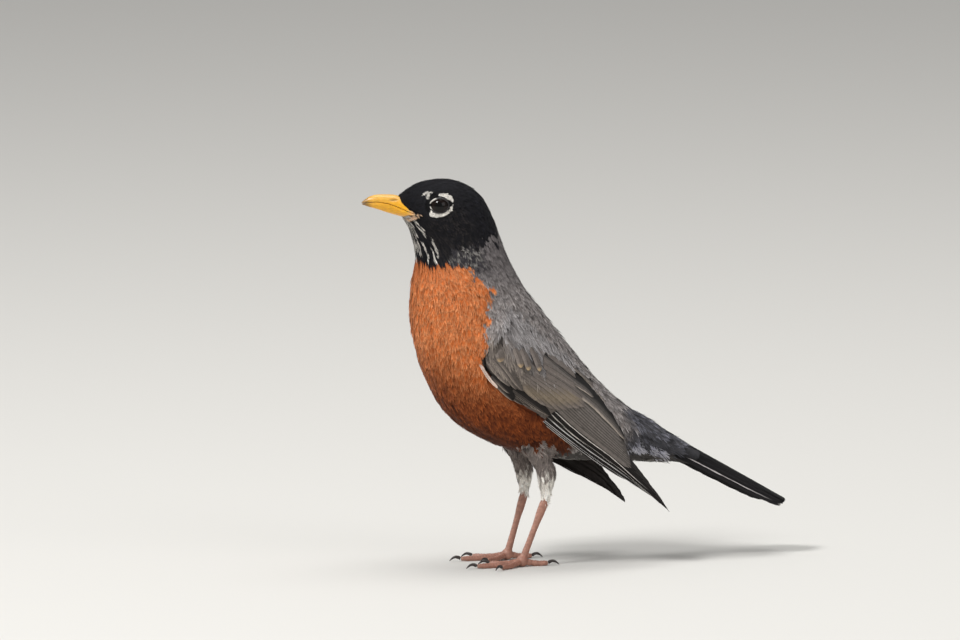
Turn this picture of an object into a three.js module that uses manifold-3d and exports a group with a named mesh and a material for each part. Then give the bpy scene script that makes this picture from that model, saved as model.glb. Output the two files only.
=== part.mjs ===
// An American robin, life size, standing upright on both feet with its wings drooped beside the tail.
// Millimetres, +Z up. The bird faces -X and its left side is -Y. The origin is on the floor, under the
// middle of the bird's box. Every solid is the outer form of the plumage, out to the tips of the feathers.

import * as THREE from "three";
import { mergeVertices } from "three/addons/utils/BufferGeometryUtils.js";
import Module from "manifold-3d";

const wasm = await Module();
wasm.setup();

// ---------------------------------------------------------------- driving dimensions, in millimetres

const GAP = 0.3; // clearance between pieces that meet
const TIDY = 0.05; // how far a face may move when flat runs of triangles are joined
const SIDES = { left: -1, right: 1 }; // which way each side lies along Y

const HEAD_TURN = -10; // degrees about the upright, towards the bird's right
const NECK_AXIS = -28; // X of the upright line that the head turns about
const NECK_HEIGHT = { still: 126, turned: 150 }; // the turn grows from none to full between these heights

const EYE = { x: -38.8, y: 9.6, z: 166.8, radius: 4.8 };

const TARSUS_WIDTH = 2.3; // across the leg; front to back it is deeper
const TARSUS_DEPTH = 3.3;
const FOOT_BALL = 2.7; // radius of the pad that the toes grow from
const TOE_AXIS = 1.15; // height of a toe's middle line over the floor
const CLAW_LENGTH = 5.2;

// Landmarks down the body, from the bill to the ends of the tail coverts: a point on the throat and belly
// side, a point on the crown and back side, both as [x, z], the half-width between them, and how much
// wider the belly side is than the back side.
const BODY_LANDMARKS = [
  { at: "bill base", belly: [-55.2, 161.3], back: [-56.6, 170.6], width: 4.4, fuller: 0.0 },
  { at: "lores", belly: [-53.4, 159.0], back: [-52.3, 173.9], width: 6.8, fuller: 0.05 },
  { at: "eyes", belly: [-51.2, 155.3], back: [-44.5, 177.5], width: 10.2, fuller: 0.05 },
  { at: "ears", belly: [-49.8, 150.3], back: [-31.0, 177.9], width: 13.4, fuller: 0.06 },
  { at: "back of the head", belly: [-49.0, 146.5], back: [-18.9, 171.4], width: 14.6, fuller: 0.06 },
  { at: "nape", belly: [-48.6, 142.5], back: [-11.6, 158.0], width: 15.3, fuller: 0.05 },
  { at: "neck", belly: [-49.2, 137.5], back: [-6.7, 144.5], width: 16.7, fuller: 0.05 },
  { at: "shoulders", belly: [-50.7, 129.5], back: [0.0, 131.8], width: 20.5, fuller: 0.08 },
  { at: "upper breast", belly: [-51.2, 118.0], back: [9.5, 119.0], width: 24.3, fuller: 0.1 },
  { at: "breast", belly: [-49.0, 103.0], back: [19.5, 106.3], width: 26.8, fuller: 0.1 },
  { at: "back", belly: [-43.0, 85.2], back: [28.0, 95.8], width: 27.6, fuller: 0.08 },
  { at: "belly", belly: [-32.0, 67.9], back: [36.0, 86.3], width: 26.6, fuller: 0.05 },
  { at: "thighs", belly: [-12.6, 55.8], back: [44.5, 77.9], width: 24.2, fuller: 0.02 },
  { at: "rump", belly: [12.0, 48.5], back: [54.0, 70.3], width: 20.0, fuller: 0.0 },
  { at: "vent", belly: [38.0, 46.0], back: [65.0, 64.0], width: 15.0, fuller: 0.0 },
  { at: "tail coverts", belly: [62.0, 44.4], back: [76.5, 56.6], width: 11.6, fuller: 0.0 },
  { at: "covert tips", belly: [83.0, 41.4], back: [89.0, 48.9], width: 10.6, fuller: 0.0 },
];

// Where the body is parted, as places along the landmarks: 5.4 lies between the sixth and the seventh.
const BODY_PARTS = [
  { name: "head", from: 0, to: 5.4 },
  { name: "neck", from: 5.4, to: 7.5 },
  { name: "trunk", from: 7.5, to: 13.3 },
  { name: "tail_coverts", from: 13.3, to: BODY_LANDMARKS.length - 1 },
];

// The bill from the corner of the gape under the eye to its tip: X, the half-width at the gape line, and
// the heights of the lower mandible's keel, of the gape line and of the culmen ridge.
const BILL_LANDMARKS = [
  { x: -47.6, width: 9.7, keel: 161.4, gape: 162.2, culmen: 163.0 },
  { x: -51.3, width: 7.4, keel: 160.9, gape: 163.4, culmen: 166.0 },
  { x: -54.5, width: 5.7, keel: 161.2, gape: 164.7, culmen: 169.6 },
  { x: -57.2, width: 4.7, keel: 161.9, gape: 165.9, culmen: 171.1 },
  { x: -61.5, width: 3.8, keel: 163.2, gape: 167.5, culmen: 171.5 },
  { x: -66.6, width: 2.7, keel: 165.0, gape: 168.3, culmen: 171.5 },
  { x: -70.2, width: 1.8, keel: 166.2, gape: 168.3, culmen: 170.8 },
  { x: -73.0, width: 0.8, keel: 167.3, gape: 168.1, culmen: 169.2 },
];
const BILL_TIP = -73.9;

// The left wing's landmarks from the wrist to the tip: the leading edge, which hangs lowest, and the
// trailing edge, which lies along the back. "proud" is how far the wing stands out between the two.
const WING_LANDMARKS = [
  { leading: [-26.4, -24.2, 103.0], trailing: [-22.5, -22.5, 119.0], proud: 3.0, thick: 2.5 },
  { leading: [-27.4, -25.0, 96.5], trailing: [-11.0, -17.5, 125.0], proud: 9.5, thick: 4.5 },
  { leading: [-19.8, -26.8, 84.8], trailing: [4.5, -12.0, 113.0], proud: 13.5, thick: 5.5 },
  { leading: [-8.7, -27.5, 76.6], trailing: [16.5, -11.0, 100.5], proud: 13.5, thick: 5.5 },
  { leading: [5.7, -28.0, 66.4], trailing: [28.0, -11.0, 89.0], proud: 12.5, thick: 5.5 },
  { leading: [17.7, -28.5, 57.3], trailing: [36.8, -14.0, 77.0], proud: 10.0, thick: 5.0 },
  { leading: [29.7, -29.3, 48.1], trailing: [43.8, -19.0, 61.6], proud: 7.0, thick: 4.0 },
  { leading: [39.3, -30.0, 40.9], trailing: [46.6, -24.5, 50.0], proud: 4.0, thick: 2.8 },
  { leading: [48.8, -30.6, 34.1], trailing: [52.2, -28.5, 40.5], proud: 1.8, thick: 1.8 },
  { leading: [59.8, -31.0, 26.6], trailing: [61.6, -30.6, 28.2], proud: 0.4, thick: 1.0 },
];
const WING_EDGE = 0.6; // thickness of the vanes along both edges
const WING_DROOP = { left: { turn: 0, drop: 0 }, right: { turn: 5, drop: 3 } }; // degrees about the tip, mm

// The wing is parted across by the ends of the coverts and lengthwise by the outermost secondary: each
// cut is a plane square to Y, through two points given as [x, z].
const COVERT_CUT = { low: [3.5, 68.0], high: [24.5, 93.5] };
const PRIMARY_CUT = { high: [8.5, 70.5], low: [49.5, 43.0] };

// The folded tail: twelve feathers stacked into a ridge, highest in the middle.
const TAIL = {
  root: [52.0, 69.5], // [x, z] of the ridge under the coverts
  tip: [131.2, 24.6],
  rootHalfWidth: 8.5,
  tipHalfWidth: 13.5,
  rootDrop: 10.0, // how far the outer feathers hang below the ridge
  tipDrop: 5.2,
  rootThick: 4.0,
  tipThick: 1.0,
  cornerLength: 7.0, // the outer feathers end this much before the middle ones
};

// Each leg: where the feathered shin leaves the belly, the ankle, and the ball of the foot on the floor.
const LEGS = {
  left: { top: [3.0, 12.6, 57.0], shin: [9.6, 13.3, 43.5], ankle: [9.2, 13.0, 30.8], ball: [-2.3, 13.0] },
  right: { top: [2.6, 12.6, 57.0], shin: [8.0, 13.3, 43.5], ankle: [8.6, 13.0, 31.4], ball: [0.0, 13.0] },
};
const SHIN_RADII = [7.2, 5.0, 4.7, 4.3, 2.9]; // down the feathered shin
const TARSUS_RADII = [1.15, 1.25, 0.95, 0.9, 0.95, 1.1]; // down the bare leg, times its half-depth and half-width

// Toes by their bearing from straight ahead, positive away from the bird's middle.
const TOES = {
  inner: { bearing: -33, length: 12.5, radius: 1.25 },
  middle: { bearing: 3, length: 19.5, radius: 1.35 },
  outer: { bearing: 37, length: 14.0, radius: 1.25 },
  hind: { bearing: 176, length: 9.5, radius: 1.4 },
};

// ---------------------------------------------------------------- small tools

const lerp = THREE.MathUtils.lerp;
const smoothstep = THREE.MathUtils.smoothstep;
const radians = THREE.MathUtils.degToRad;
const point = (x, y, z) => new THREE.Vector3(x, y, z);

// A smooth value down a list of landmarks, at a place from 0 to the last one's index.
function smoothValues(values) {
  const curve = new THREE.CatmullRomCurve3(values.map((v) => point(...v)), false, "catmullrom", 0.5);
  return (place) => curve.getPoint(THREE.MathUtils.clamp(place / (values.length - 1), 0, 1));
}

// A closed geometry over rings of points, all with the same number of points, its two ends closed by fans.
function skinOver(rings) {
  const count = rings[0].length;
  const middles = [rings[0], rings.at(-1)].map((ring) =>
    ring.reduce((sum, p) => sum.add(p), point(0, 0, 0)).divideScalar(count),
  );
  const corners = [...rings.flat(), ...middles];
  const [firstMiddle, lastMiddle] = [corners.length - 2, corners.length - 1];
  const faces = [];
  for (let i = 0; i < count; i++) {
    const next = (i + 1) % count;
    for (let r = 0; r < rings.length - 1; r++) {
      const [a, b] = [r * count + i, r * count + next];
      faces.push(a, b, b + count, a, b + count, a + count);
    }
    const lastRing = (rings.length - 1) * count;
    faces.push(firstMiddle, next, i, lastMiddle, lastRing + i, lastRing + next);
  }
  return new THREE.BufferGeometry().setFromPoints(corners).setIndex(faces);
}

// A three.js geometry as a manifold-3d solid, turned right side out.
function solid(geometry) {
  const bare = geometry.clone();
  bare.deleteAttribute("normal");
  bare.deleteAttribute("uv");
  const merged = mergeVertices(bare, 1e-4);
  const build = (triVerts) =>
    new wasm.Manifold(
      new wasm.Mesh({ numProp: 3, vertProperties: merged.attributes.position.array, triVerts }),
    );
  const triVerts = new Uint32Array(merged.index.array);
  const made = build(triVerts);
  return made.volume() > 0 ? made : build(triVerts.reverse());
}

// The largest piece of a solid, so that a cut leaves no crumbs.
function largest(manifold) {
  return manifold.decompose().reduce((best, piece) => (piece.volume() > best.volume() ? piece : best));
}

function geometryOf(manifold) {
  const { vertProperties, triVerts } = manifold.getMesh();
  const geometry = new THREE.BufferGeometry();
  geometry.setAttribute("position", new THREE.BufferAttribute(vertProperties, 3));
  geometry.setIndex(new THREE.BufferAttribute(triVerts, 1));
  geometry.computeVertexNormals();
  return geometry;
}

// The two halves of a solid either side of an upright plane through two [x, z] points, a gap apart.
// The first half is the one on the left of the way from a to b, seen from the bird's left.
function parted(manifold, a, b) {
  const normal = new THREE.Vector2(a[1] - b[1], b[0] - a[0]).normalize();
  const offset = normal.x * a[0] + normal.y * a[1];
  return [
    manifold.trimByPlane([normal.x, 0, normal.y], offset + GAP / 2),
    manifold.trimByPlane([-normal.x, 0, -normal.y], -offset + GAP / 2),
  ];
}

// A solid of round or flattened section along a smooth path. "deep" and "wide" scale its radii.
function limb(path, radii, { sides = 9, steps = 8, deep = 1, wide = 1, grow = 0 } = {}) {
  const curve = new THREE.CatmullRomCurve3(path);
  const radiusAt = smoothValues(radii.map((r) => [r, 0, 0]));
  const rings = [];
  for (let s = 0; s <= steps; s++) {
    const middle = curve.getPoint(s / steps);
    const along = curve.getTangent(s / steps);
    const across = point(0, 1, 0).addScaledVector(along, -along.y).normalize();
    const fore = across.clone().cross(along);
    const radius = radiusAt((s / steps) * (radii.length - 1)).x;
    rings.push(
      Array.from({ length: sides }, (_, i) => {
        const turn = (2 * Math.PI * i) / sides;
        return middle
          .clone()
          .addScaledVector(fore, Math.cos(turn) * (radius * deep + grow))
          .addScaledVector(across, Math.sin(turn) * (radius * wide + grow));
      }),
    );
  }
  return solid(skinOver(rings));
}

// ---------------------------------------------------------------- body

// Turns a point of the head with the neck: none at the shoulders, all of HEAD_TURN at the head.
function turned(p) {
  const angle = radians(HEAD_TURN) * smoothstep(p.z, NECK_HEIGHT.still, NECK_HEIGHT.turned);
  const [x, y] = [p.x - NECK_AXIS, p.y];
  return point(
    NECK_AXIS + x * Math.cos(angle) - y * Math.sin(angle),
    x * Math.sin(angle) + y * Math.cos(angle),
    p.z,
  );
}

const bellyLine = smoothValues(BODY_LANDMARKS.map(({ belly: [x, z], width }) => [x, width, z]));
const backLine = smoothValues(BODY_LANDMARKS.map(({ back: [x, z], fuller }) => [x, fuller, z]));

// The outline of the body across one place along its landmarks, grown outwards by "grow".
function bodyRing(place, grow = 0, sides = 24) {
  const [low, high] = [bellyLine(place), backLine(place)];
  const middle = point((low.x + high.x) / 2, 0, (low.z + high.z) / 2);
  const up = point(high.x - middle.x, 0, high.z - middle.z);
  const [depth, width, fuller] = [up.length() + grow, low.y + grow, high.y];
  up.normalize();
  return Array.from({ length: sides }, (_, i) => {
    const turn = (2 * Math.PI * i) / sides;
    const across = width * Math.sin(turn) * (1 - fuller * Math.cos(turn));
    return turned(middle.clone().addScaledVector(up, depth * Math.cos(turn)).setY(across));
  });
}

// The body between two places along its landmarks.
function bodyBetween(from, to, grow = 0) {
  const steps = Math.ceil((to - from) * 2.4);
  return solid(
    skinOver(Array.from({ length: steps + 1 }, (_, i) => bodyRing(lerp(from, to, i / steps), grow))),
  );
}

// How much of a landmark step the gap takes at a place, so that parts stay GAP apart there.
function gapShare(place) {
  const step = 0.01;
  const [a, b] = [bodyRing(place), bodyRing(place + step)];
  return (GAP / Math.min(...a.map((p, i) => p.distanceTo(b[i])))) * step;
}

function bodyPart({ from, to }) {
  const start = from === 0 ? 0 : from + gapShare(from) / 2;
  const end = to === BODY_LANDMARKS.length - 1 ? to : to - gapShare(to) / 2;
  return bodyBetween(start, end);
}

function eyeball(side, grow = 0) {
  const ball = new THREE.SphereGeometry(EYE.radius + grow, 14, 9).rotateX(Math.PI / 2);
  const middle = turned(point(EYE.x, SIDES[side] * EYE.y, EYE.z));
  return solid(ball.translate(...middle));
}

// ---------------------------------------------------------------- bill

// One mandible: a half-round section that stands on the gape line, up to the culmen or down to the keel.
// "grow" swells it on every side, and twice as much at its sharp sides, to cut its seat in the head.
function mandible(edge, grow = 0) {
  const rise = edge === "culmen" ? 1 : -1;
  const shape = smoothValues(BILL_LANDMARKS.map((b) => [b.width, b.gape, b[edge]]));
  const run = smoothValues(BILL_LANDMARKS.map((b) => [b.x, 0, 0]));
  const [steps, arc] = [14, 8];
  const ring = (x, width, gape, ridge) => {
    const base = gape + rise * (GAP / 2 - grow);
    const height = ridge + rise * grow - base;
    return Array.from({ length: arc + 1 }, (_, i) => {
      const turn = (Math.PI * i) / arc;
      return turned(point(x, (width + 2 * grow) * Math.cos(turn), base + height * Math.sin(turn)));
    });
  };
  const rings = Array.from({ length: steps + 1 }, (_, i) => {
    const place = (i / steps) * (BILL_LANDMARKS.length - 1);
    const { x: width, y: gape, z: ridge } = shape(place);
    return ring(run(place).x + (i === 0 ? grow : 0), width, gape, ridge);
  });
  const last = BILL_LANDMARKS.at(-1);
  rings.push(ring(BILL_TIP, last.width * 0.3, last.gape, last.gape + rise * (GAP / 2 + 0.2)));
  return solid(skinOver(rings));
}

// ---------------------------------------------------------------- wings

// A point of a wing, turned down about the wing's tip and lowered.
function drooped(side, p) {
  const { turn, drop } = WING_DROOP[side];
  const [tipX, , tipZ] = WING_LANDMARKS.at(-1).leading;
  const angle = radians(turn);
  const [x, z] = [p.x - tipX, p.z - tipZ];
  return p.set(
    tipX + x * Math.cos(angle) - z * Math.sin(angle),
    p.y,
    tipZ + x * Math.sin(angle) + z * Math.cos(angle) - drop,
  );
}

// The whole folded wing of one side, as one curved plate.
function wing(side) {
  const leading = smoothValues(WING_LANDMARKS.map((w) => w.leading));
  const trailing = smoothValues(WING_LANDMARKS.map((w) => w.trailing));
  const build = smoothValues(WING_LANDMARKS.map((w) => [w.proud, w.thick, 0]));
  const [across, steps] = [8, (WING_LANDMARKS.length - 1) * 2];
  const mirror = -SIDES[side];
  const rings = Array.from({ length: steps + 1 }, (_, s) => {
    const place = (s / steps) * (WING_LANDMARKS.length - 1);
    const { x: proud, y: thick } = build(place);
    const face = (t, inner) => {
      const p = leading(place).lerp(trailing(place), t);
      p.y -= proud * Math.sin(Math.PI * t ** 0.85);
      p.y += inner * (WING_EDGE + (thick - WING_EDGE) * Math.sqrt(Math.sin(Math.PI * t)));
      return drooped(side, p.setY(p.y * mirror));
    };
    const outer = Array.from({ length: across + 1 }, (_, i) => face(i / across, 0));
    const inner = Array.from({ length: across + 1 }, (_, i) => face(1 - i / across, 1));
    return [...outer, ...inner];
  });
  return solid(skinOver(rings));
}

// The wing less the body it lies on, parted into its coverts, secondaries and primaries.
function wingParts(side, body) {
  const cut = ([x, z]) => {
    const p = drooped(side, point(x, 0, z));
    return [p.x, p.z];
  };
  const whole = wing(side).subtract(body);
  const [coverts, flight] = parted(whole, cut(COVERT_CUT.low), cut(COVERT_CUT.high));
  const [secondaries, primaries] = parted(flight, cut(PRIMARY_CUT.high), cut(PRIMARY_CUT.low));
  return { coverts: largest(coverts), secondaries: largest(secondaries), primaries: largest(primaries) };
}

// ---------------------------------------------------------------- tail

function tail() {
  const [steps, across] = [12, 10];
  const rings = Array.from({ length: steps + 1 }, (_, s) => {
    const t = s / steps;
    const half = lerp(TAIL.rootHalfWidth, TAIL.tipHalfWidth, Math.sqrt(t));
    const drop = lerp(TAIL.rootDrop, TAIL.tipDrop, t);
    const thick = lerp(TAIL.rootThick, TAIL.tipThick, t);
    const face = (v, under) => {
      const reach = t - ((TAIL.cornerLength * v ** 4) / 90) * t;
      const x = lerp(TAIL.root[0], TAIL.tip[0], reach);
      const z = lerp(TAIL.root[1], TAIL.tip[1], reach);
      return point(x, half * v, z - drop * v ** 2 - under * lerp(thick, WING_EDGE, Math.abs(v)));
    };
    const top = Array.from({ length: across + 1 }, (_, i) => face((2 * i) / across - 1, 0));
    const bottom = Array.from({ length: across + 1 }, (_, i) => face(1 - (2 * i) / across, 1));
    return [...top, ...bottom];
  });
  return solid(skinOver(rings));
}

// ---------------------------------------------------------------- legs and feet

// One leg's points, with Y on its own side.
function legPoints(side) {
  const { top, shin, ankle, ball } = LEGS[side];
  const place = ([x, y, z]) => point(x, SIDES[side] * y, z);
  return {
    top: place(top),
    shin: place(shin),
    ankle: place(ankle),
    ball: place([...ball, FOOT_BALL - 0.2]),
  };
}

function shin(side) {
  const { top, shin: calf, ankle } = legPoints(side);
  const knee = top.clone().lerp(calf, 0.5);
  const cuff = calf.clone().lerp(ankle, 0.5);
  return limb([top, knee, calf, cuff, ankle], SHIN_RADII, { sides: 12, steps: 8, wide: 0.85 });
}

// The bare leg from inside the shin feathers to the ball of the foot.
function tarsus(side, grow = 0) {
  const { ankle, ball } = legPoints(side);
  const bar = limb([ankle, ankle.clone().lerp(ball, 0.5), ball], TARSUS_RADII, {
    deep: TARSUS_DEPTH / 2,
    wide: TARSUS_WIDTH / 2,
    grow,
  });
  const pad = new THREE.SphereGeometry(FOOT_BALL + grow, 12, 8).rotateX(Math.PI / 2);
  return aboveFloor(bar.add(solid(pad.translate(...ball))));
}

function aboveFloor(manifold) {
  return manifold.trimByPlane([0, 0, 1], 0);
}

// The line of one toe over the floor, from the ball of the foot, and the way it points.
function toeLine(side, { bearing, length }) {
  const { ball } = legPoints(side);
  const angle = radians(bearing);
  const ahead = point(-Math.cos(angle), SIDES[side] * Math.sin(angle), 0);
  const at = (distance, height) => ball.clone().addScaledVector(ahead, distance).setZ(height);
  return { at, reach: FOOT_BALL + length };
}

function toe(side, shape) {
  const { at, reach } = toeLine(side, shape);
  const path = [
    at(1.0, FOOT_BALL),
    at(lerp(1, reach, 0.25), TOE_AXIS + 0.6),
    at(lerp(1, reach, 0.6), TOE_AXIS),
    at(reach, TOE_AXIS + 0.1),
  ];
  const joints = [1.15, 0.95, 1.08, 0.9, 1.06, 0.86, 0.98, 0.62]; // fuller at each joint and pad
  return aboveFloor(limb(path, joints.map((j) => j * shape.radius), { sides: 8, steps: 9 }));
}

function claw(side, shape) {
  const { at, reach } = toeLine(side, shape);
  const start = reach + GAP;
  const height = TOE_AXIS + 0.25;
  const path = [
    at(start, height),
    at(start + CLAW_LENGTH * 0.35, height + 0.75),
    at(start + CLAW_LENGTH * 0.7, height + 0.3),
    at(start + CLAW_LENGTH, 0.35),
  ];
  return aboveFloor(limb(path, [0.8, 0.72, 0.5, 0.15], { sides: 6, steps: 5, wide: 0.75 }));
}

// ---------------------------------------------------------------- materials

const plumage = (name, color) => new THREE.MeshStandardMaterial({ name, color, roughness: 0.85, metalness: 0 });
const MATERIALS = {
  black: plumage("black head feathers", 0x1c1a1d),
  grey: plumage("grey back feathers", 0x5f5a58),
  rufous: plumage("rufous breast feathers", 0xbf6434),
  quill: plumage("dark flight feathers", 0x3b3534),
  shin: plumage("pale shin feathers", 0x9a8d88),
  bill: new THREE.MeshStandardMaterial({ name: "yellow bill", color: 0xe5a92e, roughness: 0.4, metalness: 0 }),
  scale: new THREE.MeshStandardMaterial({ name: "horny leg scales", color: 0x9a6a55, roughness: 0.5, metalness: 0 }),
  claw: new THREE.MeshStandardMaterial({ name: "dark claw", color: 0x2c211d, roughness: 0.35, metalness: 0 }),
  eye: new THREE.MeshStandardMaterial({ name: "dark eye", color: 0x130d0a, roughness: 0.05, metalness: 0 }),
};
const BODY_MATERIALS = {
  head: MATERIALS.black,
  neck: MATERIALS.grey,
  trunk: MATERIALS.rufous,
  tail_coverts: MATERIALS.grey,
};
const WING_MATERIALS = {
  coverts: MATERIALS.grey,
  secondaries: MATERIALS.grey,
  primaries: MATERIALS.quill,
};

// ---------------------------------------------------------------- the bird

const bird = new THREE.Group();

function addPiece(name, manifold, material) {
  const piece = new THREE.Mesh(geometryOf(manifold.simplify(TIDY)), material);
  piece.name = name;
  bird.add(piece);
}

const seats = [
  ...Object.keys(SIDES).map((side) => eyeball(side, GAP)),
  mandible("culmen", GAP),
  mandible("keel", GAP),
];
const clearOfBody = bodyBetween(0, BODY_LANDMARKS.length - 1, GAP);
const clearOfWings = Object.keys(SIDES).map((side) => wing(side));

for (const part of BODY_PARTS) {
  let piece = bodyPart(part);
  if (part.name === "head") for (const seat of seats) piece = piece.subtract(seat);
  addPiece(part.name, piece, BODY_MATERIALS[part.name]);
}

addPiece("bill_upper", mandible("culmen"), MATERIALS.bill);
addPiece("bill_lower", mandible("keel"), MATERIALS.bill);
addPiece("tail", largest(tail().subtract(clearOfBody)), MATERIALS.quill);

Object.keys(SIDES).forEach((side, i) => {
  addPiece(`eye_${side}`, eyeball(side), MATERIALS.eye);
  for (const [name, part] of Object.entries(wingParts(side, clearOfBody)))
    addPiece(`wing_${side}_${name}`, part, WING_MATERIALS[name]);
  addPiece(`tarsus_${side}`, tarsus(side), MATERIALS.scale);
  let taken = tarsus(side, GAP);
  const bareShin = shin(side).subtract(clearOfBody).subtract(clearOfWings[i]).subtract(taken);
  addPiece(`shin_${side}`, largest(bareShin), MATERIALS.shin);

  for (const [name, shape] of Object.entries(TOES)) {
    addPiece(`toe_${side}_${name}`, largest(toe(side, shape).subtract(taken)), MATERIALS.scale);
    addPiece(`claw_${side}_${name}`, claw(side, shape), MATERIALS.claw);
    taken = taken.add(toe(side, { ...shape, radius: shape.radius + GAP }));
  }
});

// Stand the bird over the origin: on the floor, in the middle of its box.
const box = new THREE.Box3().setFromObject(bird);
bird.position.set(-(box.min.x + box.max.x) / 2, -(box.min.y + box.max.y) / 2, -box.min.z);

export default bird;
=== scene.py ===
# %% [markdown]
# # An American robin, feather by feather
# The CAD model gives the bird as closed solids: head, neck, trunk, wings, tail, legs, eyes and bill.
# This lesson dresses it. One smooth skin replaces the solids of flesh, and thousands of small feathers
# are laid over it, each of them a fan of fine barbs that points the way the plumage lies. The long
# feathers of the wings and the tail are modelled one by one. Everything is worked out in millimetres
# in the CAD's own frame, and turned into metres only when a mesh is made.

# %% Load the CAD frame
import math

import bpy
import numpy as np
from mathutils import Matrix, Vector
from mathutils.bvhtree import BVHTree
from mathutils.kdtree import KDTree


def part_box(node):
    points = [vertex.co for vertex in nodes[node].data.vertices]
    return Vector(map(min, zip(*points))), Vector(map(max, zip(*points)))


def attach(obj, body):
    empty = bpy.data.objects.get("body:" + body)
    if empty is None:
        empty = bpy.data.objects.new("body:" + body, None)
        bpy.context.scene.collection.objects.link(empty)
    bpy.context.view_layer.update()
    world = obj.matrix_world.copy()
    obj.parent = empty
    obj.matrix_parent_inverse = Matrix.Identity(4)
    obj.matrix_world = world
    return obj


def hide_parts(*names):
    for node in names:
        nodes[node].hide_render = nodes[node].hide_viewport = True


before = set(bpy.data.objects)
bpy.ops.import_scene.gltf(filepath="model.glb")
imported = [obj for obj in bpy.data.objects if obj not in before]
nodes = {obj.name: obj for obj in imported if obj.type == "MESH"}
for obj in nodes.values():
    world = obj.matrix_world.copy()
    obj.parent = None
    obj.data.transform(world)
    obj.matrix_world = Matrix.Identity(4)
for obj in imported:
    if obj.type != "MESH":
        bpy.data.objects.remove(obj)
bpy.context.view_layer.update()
chance = np.random.default_rng(7)

# %% [markdown]
# ## Colours
# Colours are written the way a paint chart gives them, as sRGB hex, and one function turns them into
# the linear light that the renderer works in. The names say which part of the plumage they belong to.
# Four small helpers work on many points at once, one point to a row.

# %% Colours and helpers
def srgb(text):
    """A colour such as "#b5602f" as linear red, green and blue."""
    part = np.array([int(text[i : i + 2], 16) for i in (1, 3, 5)]) / 255
    return np.where(part <= 0.04045, part / 12.92, ((part + 0.055) / 1.055) ** 2.4)


def dot(a, b):
    """The dot product of each row of a with the same row of b."""
    return np.einsum("nk,nk->n", a, b)


def unit(v):
    """Each vector made one long."""
    return v / np.linalg.norm(v, axis=-1, keepdims=True)


def mix(a, b, t):
    """Row by row, from a where t is 0 to b where it is 1."""
    return a + (b - a) * np.asarray(t)[:, None]


def pick(which, a, b):
    """Row by row, a where which is true and b elsewhere."""
    return np.where(np.asarray(which)[:, None], a, b)


# %% Palette
HOOD = srgb("#100f12")  # head: near black, with a cool cast
# Painted sheen: this cool colour on some feather tips stands for the sheen of the black plumage.
HOOD_PAINTED_SHEEN = srgb("#22232d")
CHEEK_FLECK = srgb("#403a38")
CHALK = srgb("#ddd8d0")  # white of the eye crescents, the throat and the vent
NAPE = srgb("#625d5d")
MANTLE = srgb("#6a6360")  # back and rump: brownish grey
MANTLE_EDGE = srgb("#b8b2b0")
BREAST = srgb("#b85f2b")  # brick orange
BREAST_TIP = srgb("#dc9a6a")
BELLY_AND_SHADE = srgb("#572304")  # deeper orange low on the belly, made darker still as painted shade
DOWN = srgb("#75706d")  # grey down at the root of every body feather
SHIN = srgb("#857b76")
BILL_BASE = srgb("#dcb898")  # bare pinkish skin at the gape
COVERT = srgb("#756c66")
COVERT_EDGE = srgb("#9c9186")
SCAPULAR = srgb("#767170")  # shoulder
SCAPULAR_EDGE = srgb("#c2bebe")
OLIVE = srgb("#8a7a60")  # wash on the greater coverts
COVERT_TIP = srgb("#a08a6c")  # buff tips of the median coverts
QUILL = srgb("#2c2725")  # primaries and secondaries
QUILL_PANEL = srgb("#6f6863")  # the greyer outer webs of the secondaries
QUILL_EDGE = srgb("#c8c4be")
TAIL = srgb("#100e0f")
RUMP = srgb("#414043")  # upper tail coverts: dark grey, with a violet cast at their edges
RUMP_EDGE = srgb("#8f8f9b")
print("orange of the breast in linear light:", BREAST.round(3))

# %% [markdown]
# ## The bird's own coordinates
# The head is turned 10 degrees on the neck. To say where a marking lies, it is easier to think of the
# bird looking straight ahead, so `straight` undoes the turn and `posed` does it again. Straight
# coordinates have their origin on the floor between the feet: x runs back to the tail, z runs up, and
# y is across, with the left side negative.

# %% Straight coordinates
SIGN = {"left": -1, "right": 1}  # which way each side lies along y
FEET_X = 28.98  # from the middle of the CAD box back to the point between the feet
HEAD_TURN = math.radians(-10)
NECK_AXIS = -28.0
NECK_LOW, NECK_HIGH = 126.0, 150.0


def smooth(x, low, high):
    """0 below low, 1 above high, and an S curve between them."""
    t = np.clip((np.asarray(x, float) - low) / (high - low), 0, 1)
    return t * t * (3 - 2 * t)


def spun(points, turn):
    """Points turned about the neck's axis: not at all below the neck, and by turn above it."""
    angle = turn * smooth(points[..., 2], NECK_LOW, NECK_HIGH)
    x, y = points[..., 0] - NECK_AXIS, points[..., 1]
    across = x * np.sin(angle) + y * np.cos(angle)
    return np.stack([NECK_AXIS + x * np.cos(angle) - y * np.sin(angle), across, points[..., 2]], -1)


def straight(points):
    """From millimetres in the CAD's frame to the bird that looks straight ahead."""
    return spun(points + np.array([FEET_X, 0, 0]), -HEAD_TURN)


def posed(points):
    """From the bird that looks straight ahead to millimetres in the CAD's frame."""
    return spun(points, HEAD_TURN) - np.array([FEET_X, 0, 0])


# %% [markdown]
# ## Which way the plumage lies
# Feathers point from the bill to the tail. Seventeen lines across the bird, each from the throat or
# belly to the crown or back, are like the hoops of a barrel. The hoop that a point lies on gives its
# `place`, from 0 at the bill to 16 at the ends of the tail coverts. How far round the hoop it lies
# gives its `around`, from 0 along the back to 1 along the belly. The feathers lie square to the hoops.

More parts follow.
